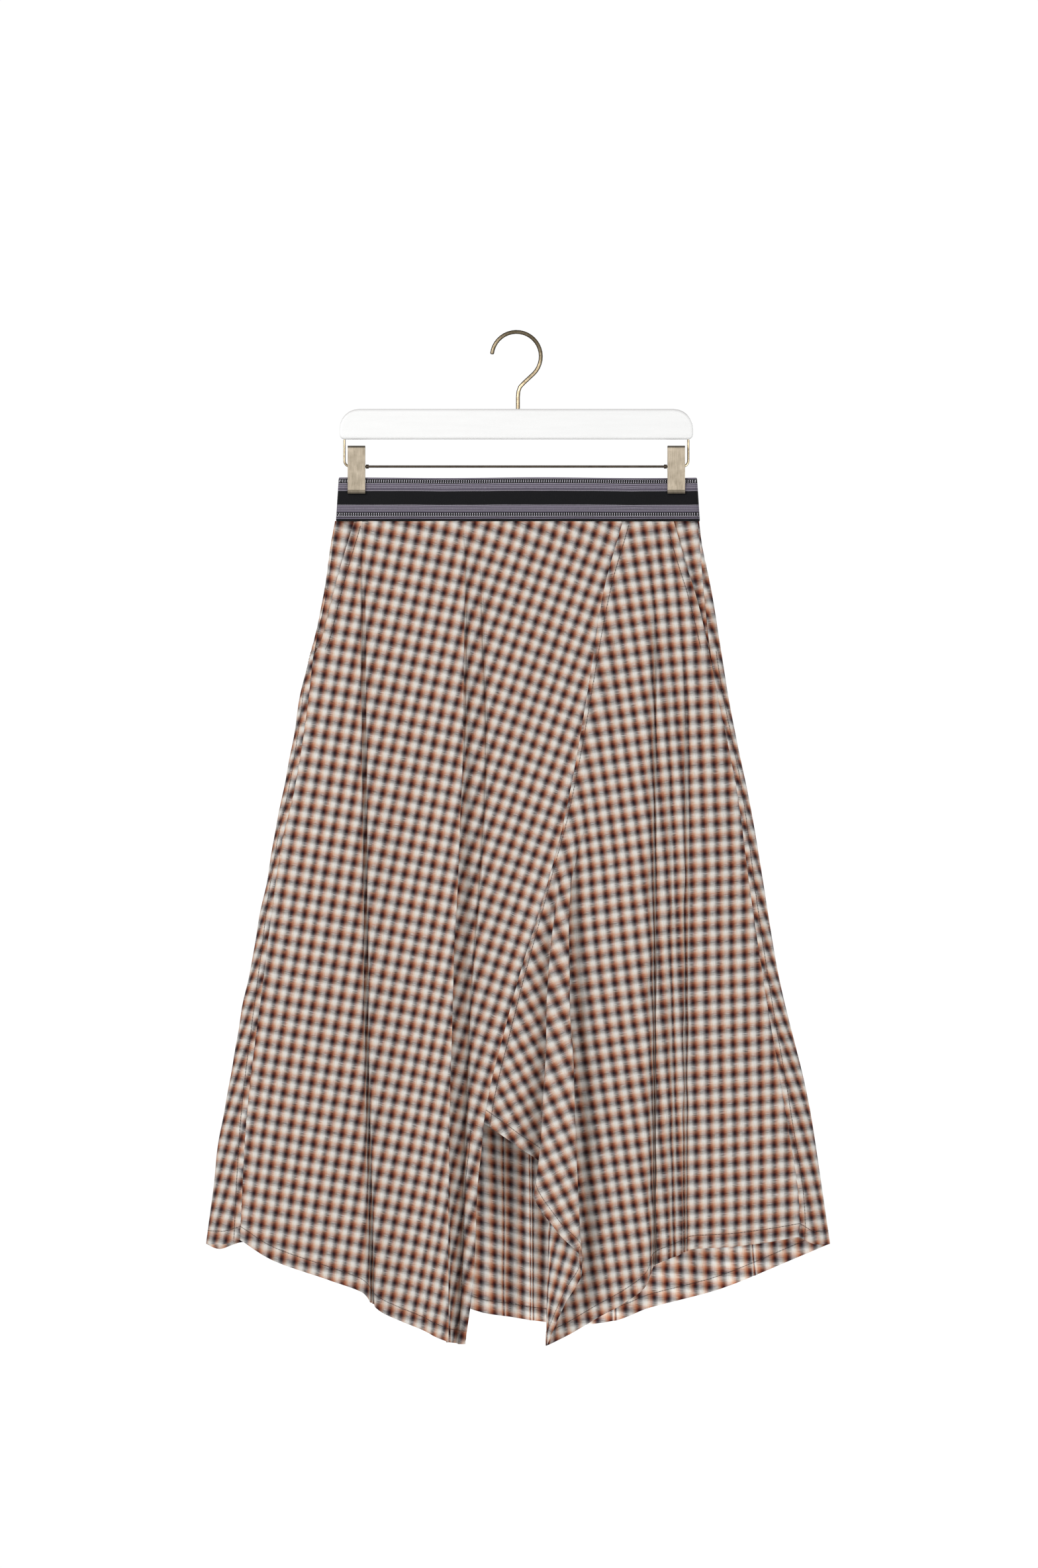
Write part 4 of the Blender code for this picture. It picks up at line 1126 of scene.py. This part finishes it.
def waistband(material):
    """The elastic loop, with soft rounded edges at its top and foot."""
    edge_rows = np.array([0, 0.25, 0.8])
    middle_rows = np.linspace(2, BAND_HIGH - 2, BAND_ROWS)
    rings, places, half_thick = [], [], []
    for height in np.concatenate([edge_rows, middle_rows, BAND_HIGH - edge_rows[::-1]]):
        share = height / BAND_HIGH
        half = BAND_HALF_TOP + (BAND_HALF_BOTTOM - BAND_HALF_TOP) * share - BAND_THICK / 2
        ring = np.array(band_ring(BAND_TOP + height, half))
        edge = min(height, BAND_HIGH - height)
        ring[:, 2] += (0.5 + 0.4 * np.sin(ring[:, 0] / 31 + 0.8)) * (1 - share)
        rings.append(ring)
        run = run_lengths(ring)
        places.append(np.column_stack([run, np.full(len(run), height)]))
        half_thick.append(BAND_THICK / 2 * min(1.0, 0.35 + math.sqrt(edge / 1.4) * 0.65))
    grid = np.array(rings)
    ahead = np.roll(grid, -1, axis=1) - np.roll(grid, 1, axis=1)
    normals = unit(np.cross((0, 0, -1), ahead))
    thick = np.repeat(np.array(half_thick)[:, None], grid.shape[1], axis=1)
    place = np.array(places) * MM
    made = shell("waistband_elastic", grid, normals, thick, thick, place, material, closed=True)
    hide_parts("waistband")
    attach(made, "root")


def dress_hanger():
    """Give each node of the hanger the finish that its name begins with."""
    paint = white_paint()
    hook, rod, plate = [antique_brass(name, *finish) for name, finish in METALS.items()]
    finishes = {"hanger_bar": paint, "hook": hook, "wire_stub": hook, "wire_rod": rod, "clip_": plate}
    for name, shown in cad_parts.items():
        for start, finish in finishes.items():
            if name.startswith(start):
                shown.data.materials.clear()
                shown.data.materials.append(finish)


def skirt():
    cloth = check_cloth()
    sewing = thread()
    waistband(band_elastic())
    left, left_sheet = panel(
        "front_left", left_lines(), ROWS_FRONT, COLUMN_FRONT, LEFT_GRAIN, FRONT_CREASES,
        seams=(0.0, 0.0), sewn=((8.0, 192, 322), (12.5, 806, 1012)), material=cloth)
    right, right_sheet = panel(
        "front_right", right_lines(), ROWS_FRONT, COLUMN_FRONT, RIGHT_GRAIN, FRONT_CREASES,
        seams=(7.5, 0.0), sewn=((7.0, 192, 830), (8.0, 192, 322)), material=cloth)
    back, back_sheet = panel(
        "back", back_lines(), ROWS_BACK, COLUMN_BACK, BACK_GRAIN, BACK_CREASES,
        seams=(7.5, 7.5), sewn=((6.5, 318, 930), (6.5, 318, 930)), material=cloth)
    pocket_backing("left", LEFT_MOUTH, LEFT_SEAM, turn=-1, start=(3, 7), material=cloth)
    pocket_backing("right", RIGHT_MOUTH, RIGHT_SEAM, turn=1, start=(9, 3), material=cloth)
    left_sewing = stitches("front_left_stitching", sewn_lines(left_sheet), sewing)
    right_sewing = stitches("front_right_stitching", sewn_lines(right_sheet), sewing)
    back_sewing = stitches("back_stitching", sewn_lines(back_sheet), sewing)


def white_room():
    scene = bpy.context.scene
    scene.view_settings.view_transform = "Standard"
    world = bpy.data.worlds.new("studio")
    world.use_nodes = True
    tree = world.node_tree
    soft = tree.nodes["Background"]
    soft.inputs[0].default_value = WHITE
    soft.inputs[1].default_value = SOFT_LIGHT
    wall = node(tree, "Background", {0: WHITE, 1: WALL_WHITE})
    seen = node(tree, "LightPath").outputs["Is Camera Ray"]
    both = node(tree, "MixShader", {0: seen, 1: soft.outputs[0], 2: wall.outputs[0]})
    tree.links.new(both.outputs[0], tree.nodes["World Output"].inputs[0])
    scene.world = world


def pale_floor():
    material, tree, surface = new_material("pale_floor", {"Roughness": 0.9})
    fine = noise(tree, object_place(tree), 60.0)
    tree.links.new(ramp(tree, fine, FLOOR_COLOURS), surface.inputs["Base Color"])
    half = FLOOR_HALF
    corners = [(x, y, -FLOOR_DROP) for x, y in ((-half, -half), (half, -half), (half, half), (-half, half))]
    floor = make_mesh("studio_floor", corners, [(0, 1, 2, 3)], material)


def lights():
    for name, at, size, power in LIGHTS:
        light = bpy.data.lights.new(name, "AREA")
        light.size = size
        light.energy = power
        lamp = bpy.data.objects.new(name, light)
        bpy.context.scene.collection.objects.link(lamp)
        lamp.location = at
        aim = np.array(LIGHT_AIM) - np.array(at)
        yaw = math.atan2(aim[1], aim[0]) - math.pi / 2
        pitch = math.atan2(math.hypot(aim[0], aim[1]), -aim[2])
        lamp.rotation_euler = (pitch, 0, yaw)


def photo_camera():
    """The camera that shows the skirt as large and at the same place as the photo does."""
    scene = bpy.context.scene
    camera = bpy.data.cameras.new("camera")
    camera.sensor_fit = "VERTICAL"
    camera.sensor_height = SENSOR
    camera.sensor_width = SENSOR * PHOTO_WIDTH / PHOTO_HEIGHT
    camera.lens = SENSOR * CAMERA_DISTANCE / (PHOTO_HEIGHT * PIXEL * MM)
    eye = bpy.data.objects.new("camera", camera)
    scene.collection.objects.link(eye)
    eye.location = (
        (PHOTO_WIDTH / 2 - ORIGIN_PX[0]) * PIXEL * MM,
        MIDDLE_DEPTH - CAMERA_DISTANCE,
        -(PHOTO_HEIGHT / 2 - ORIGIN_PX[1]) * PIXEL * MM,
    )
    eye.rotation_euler = (math.pi / 2, 0, 0)
    scene.camera = eye


dress_hanger()
skirt()
white_room()
pale_floor()
lights()
photo_camera()
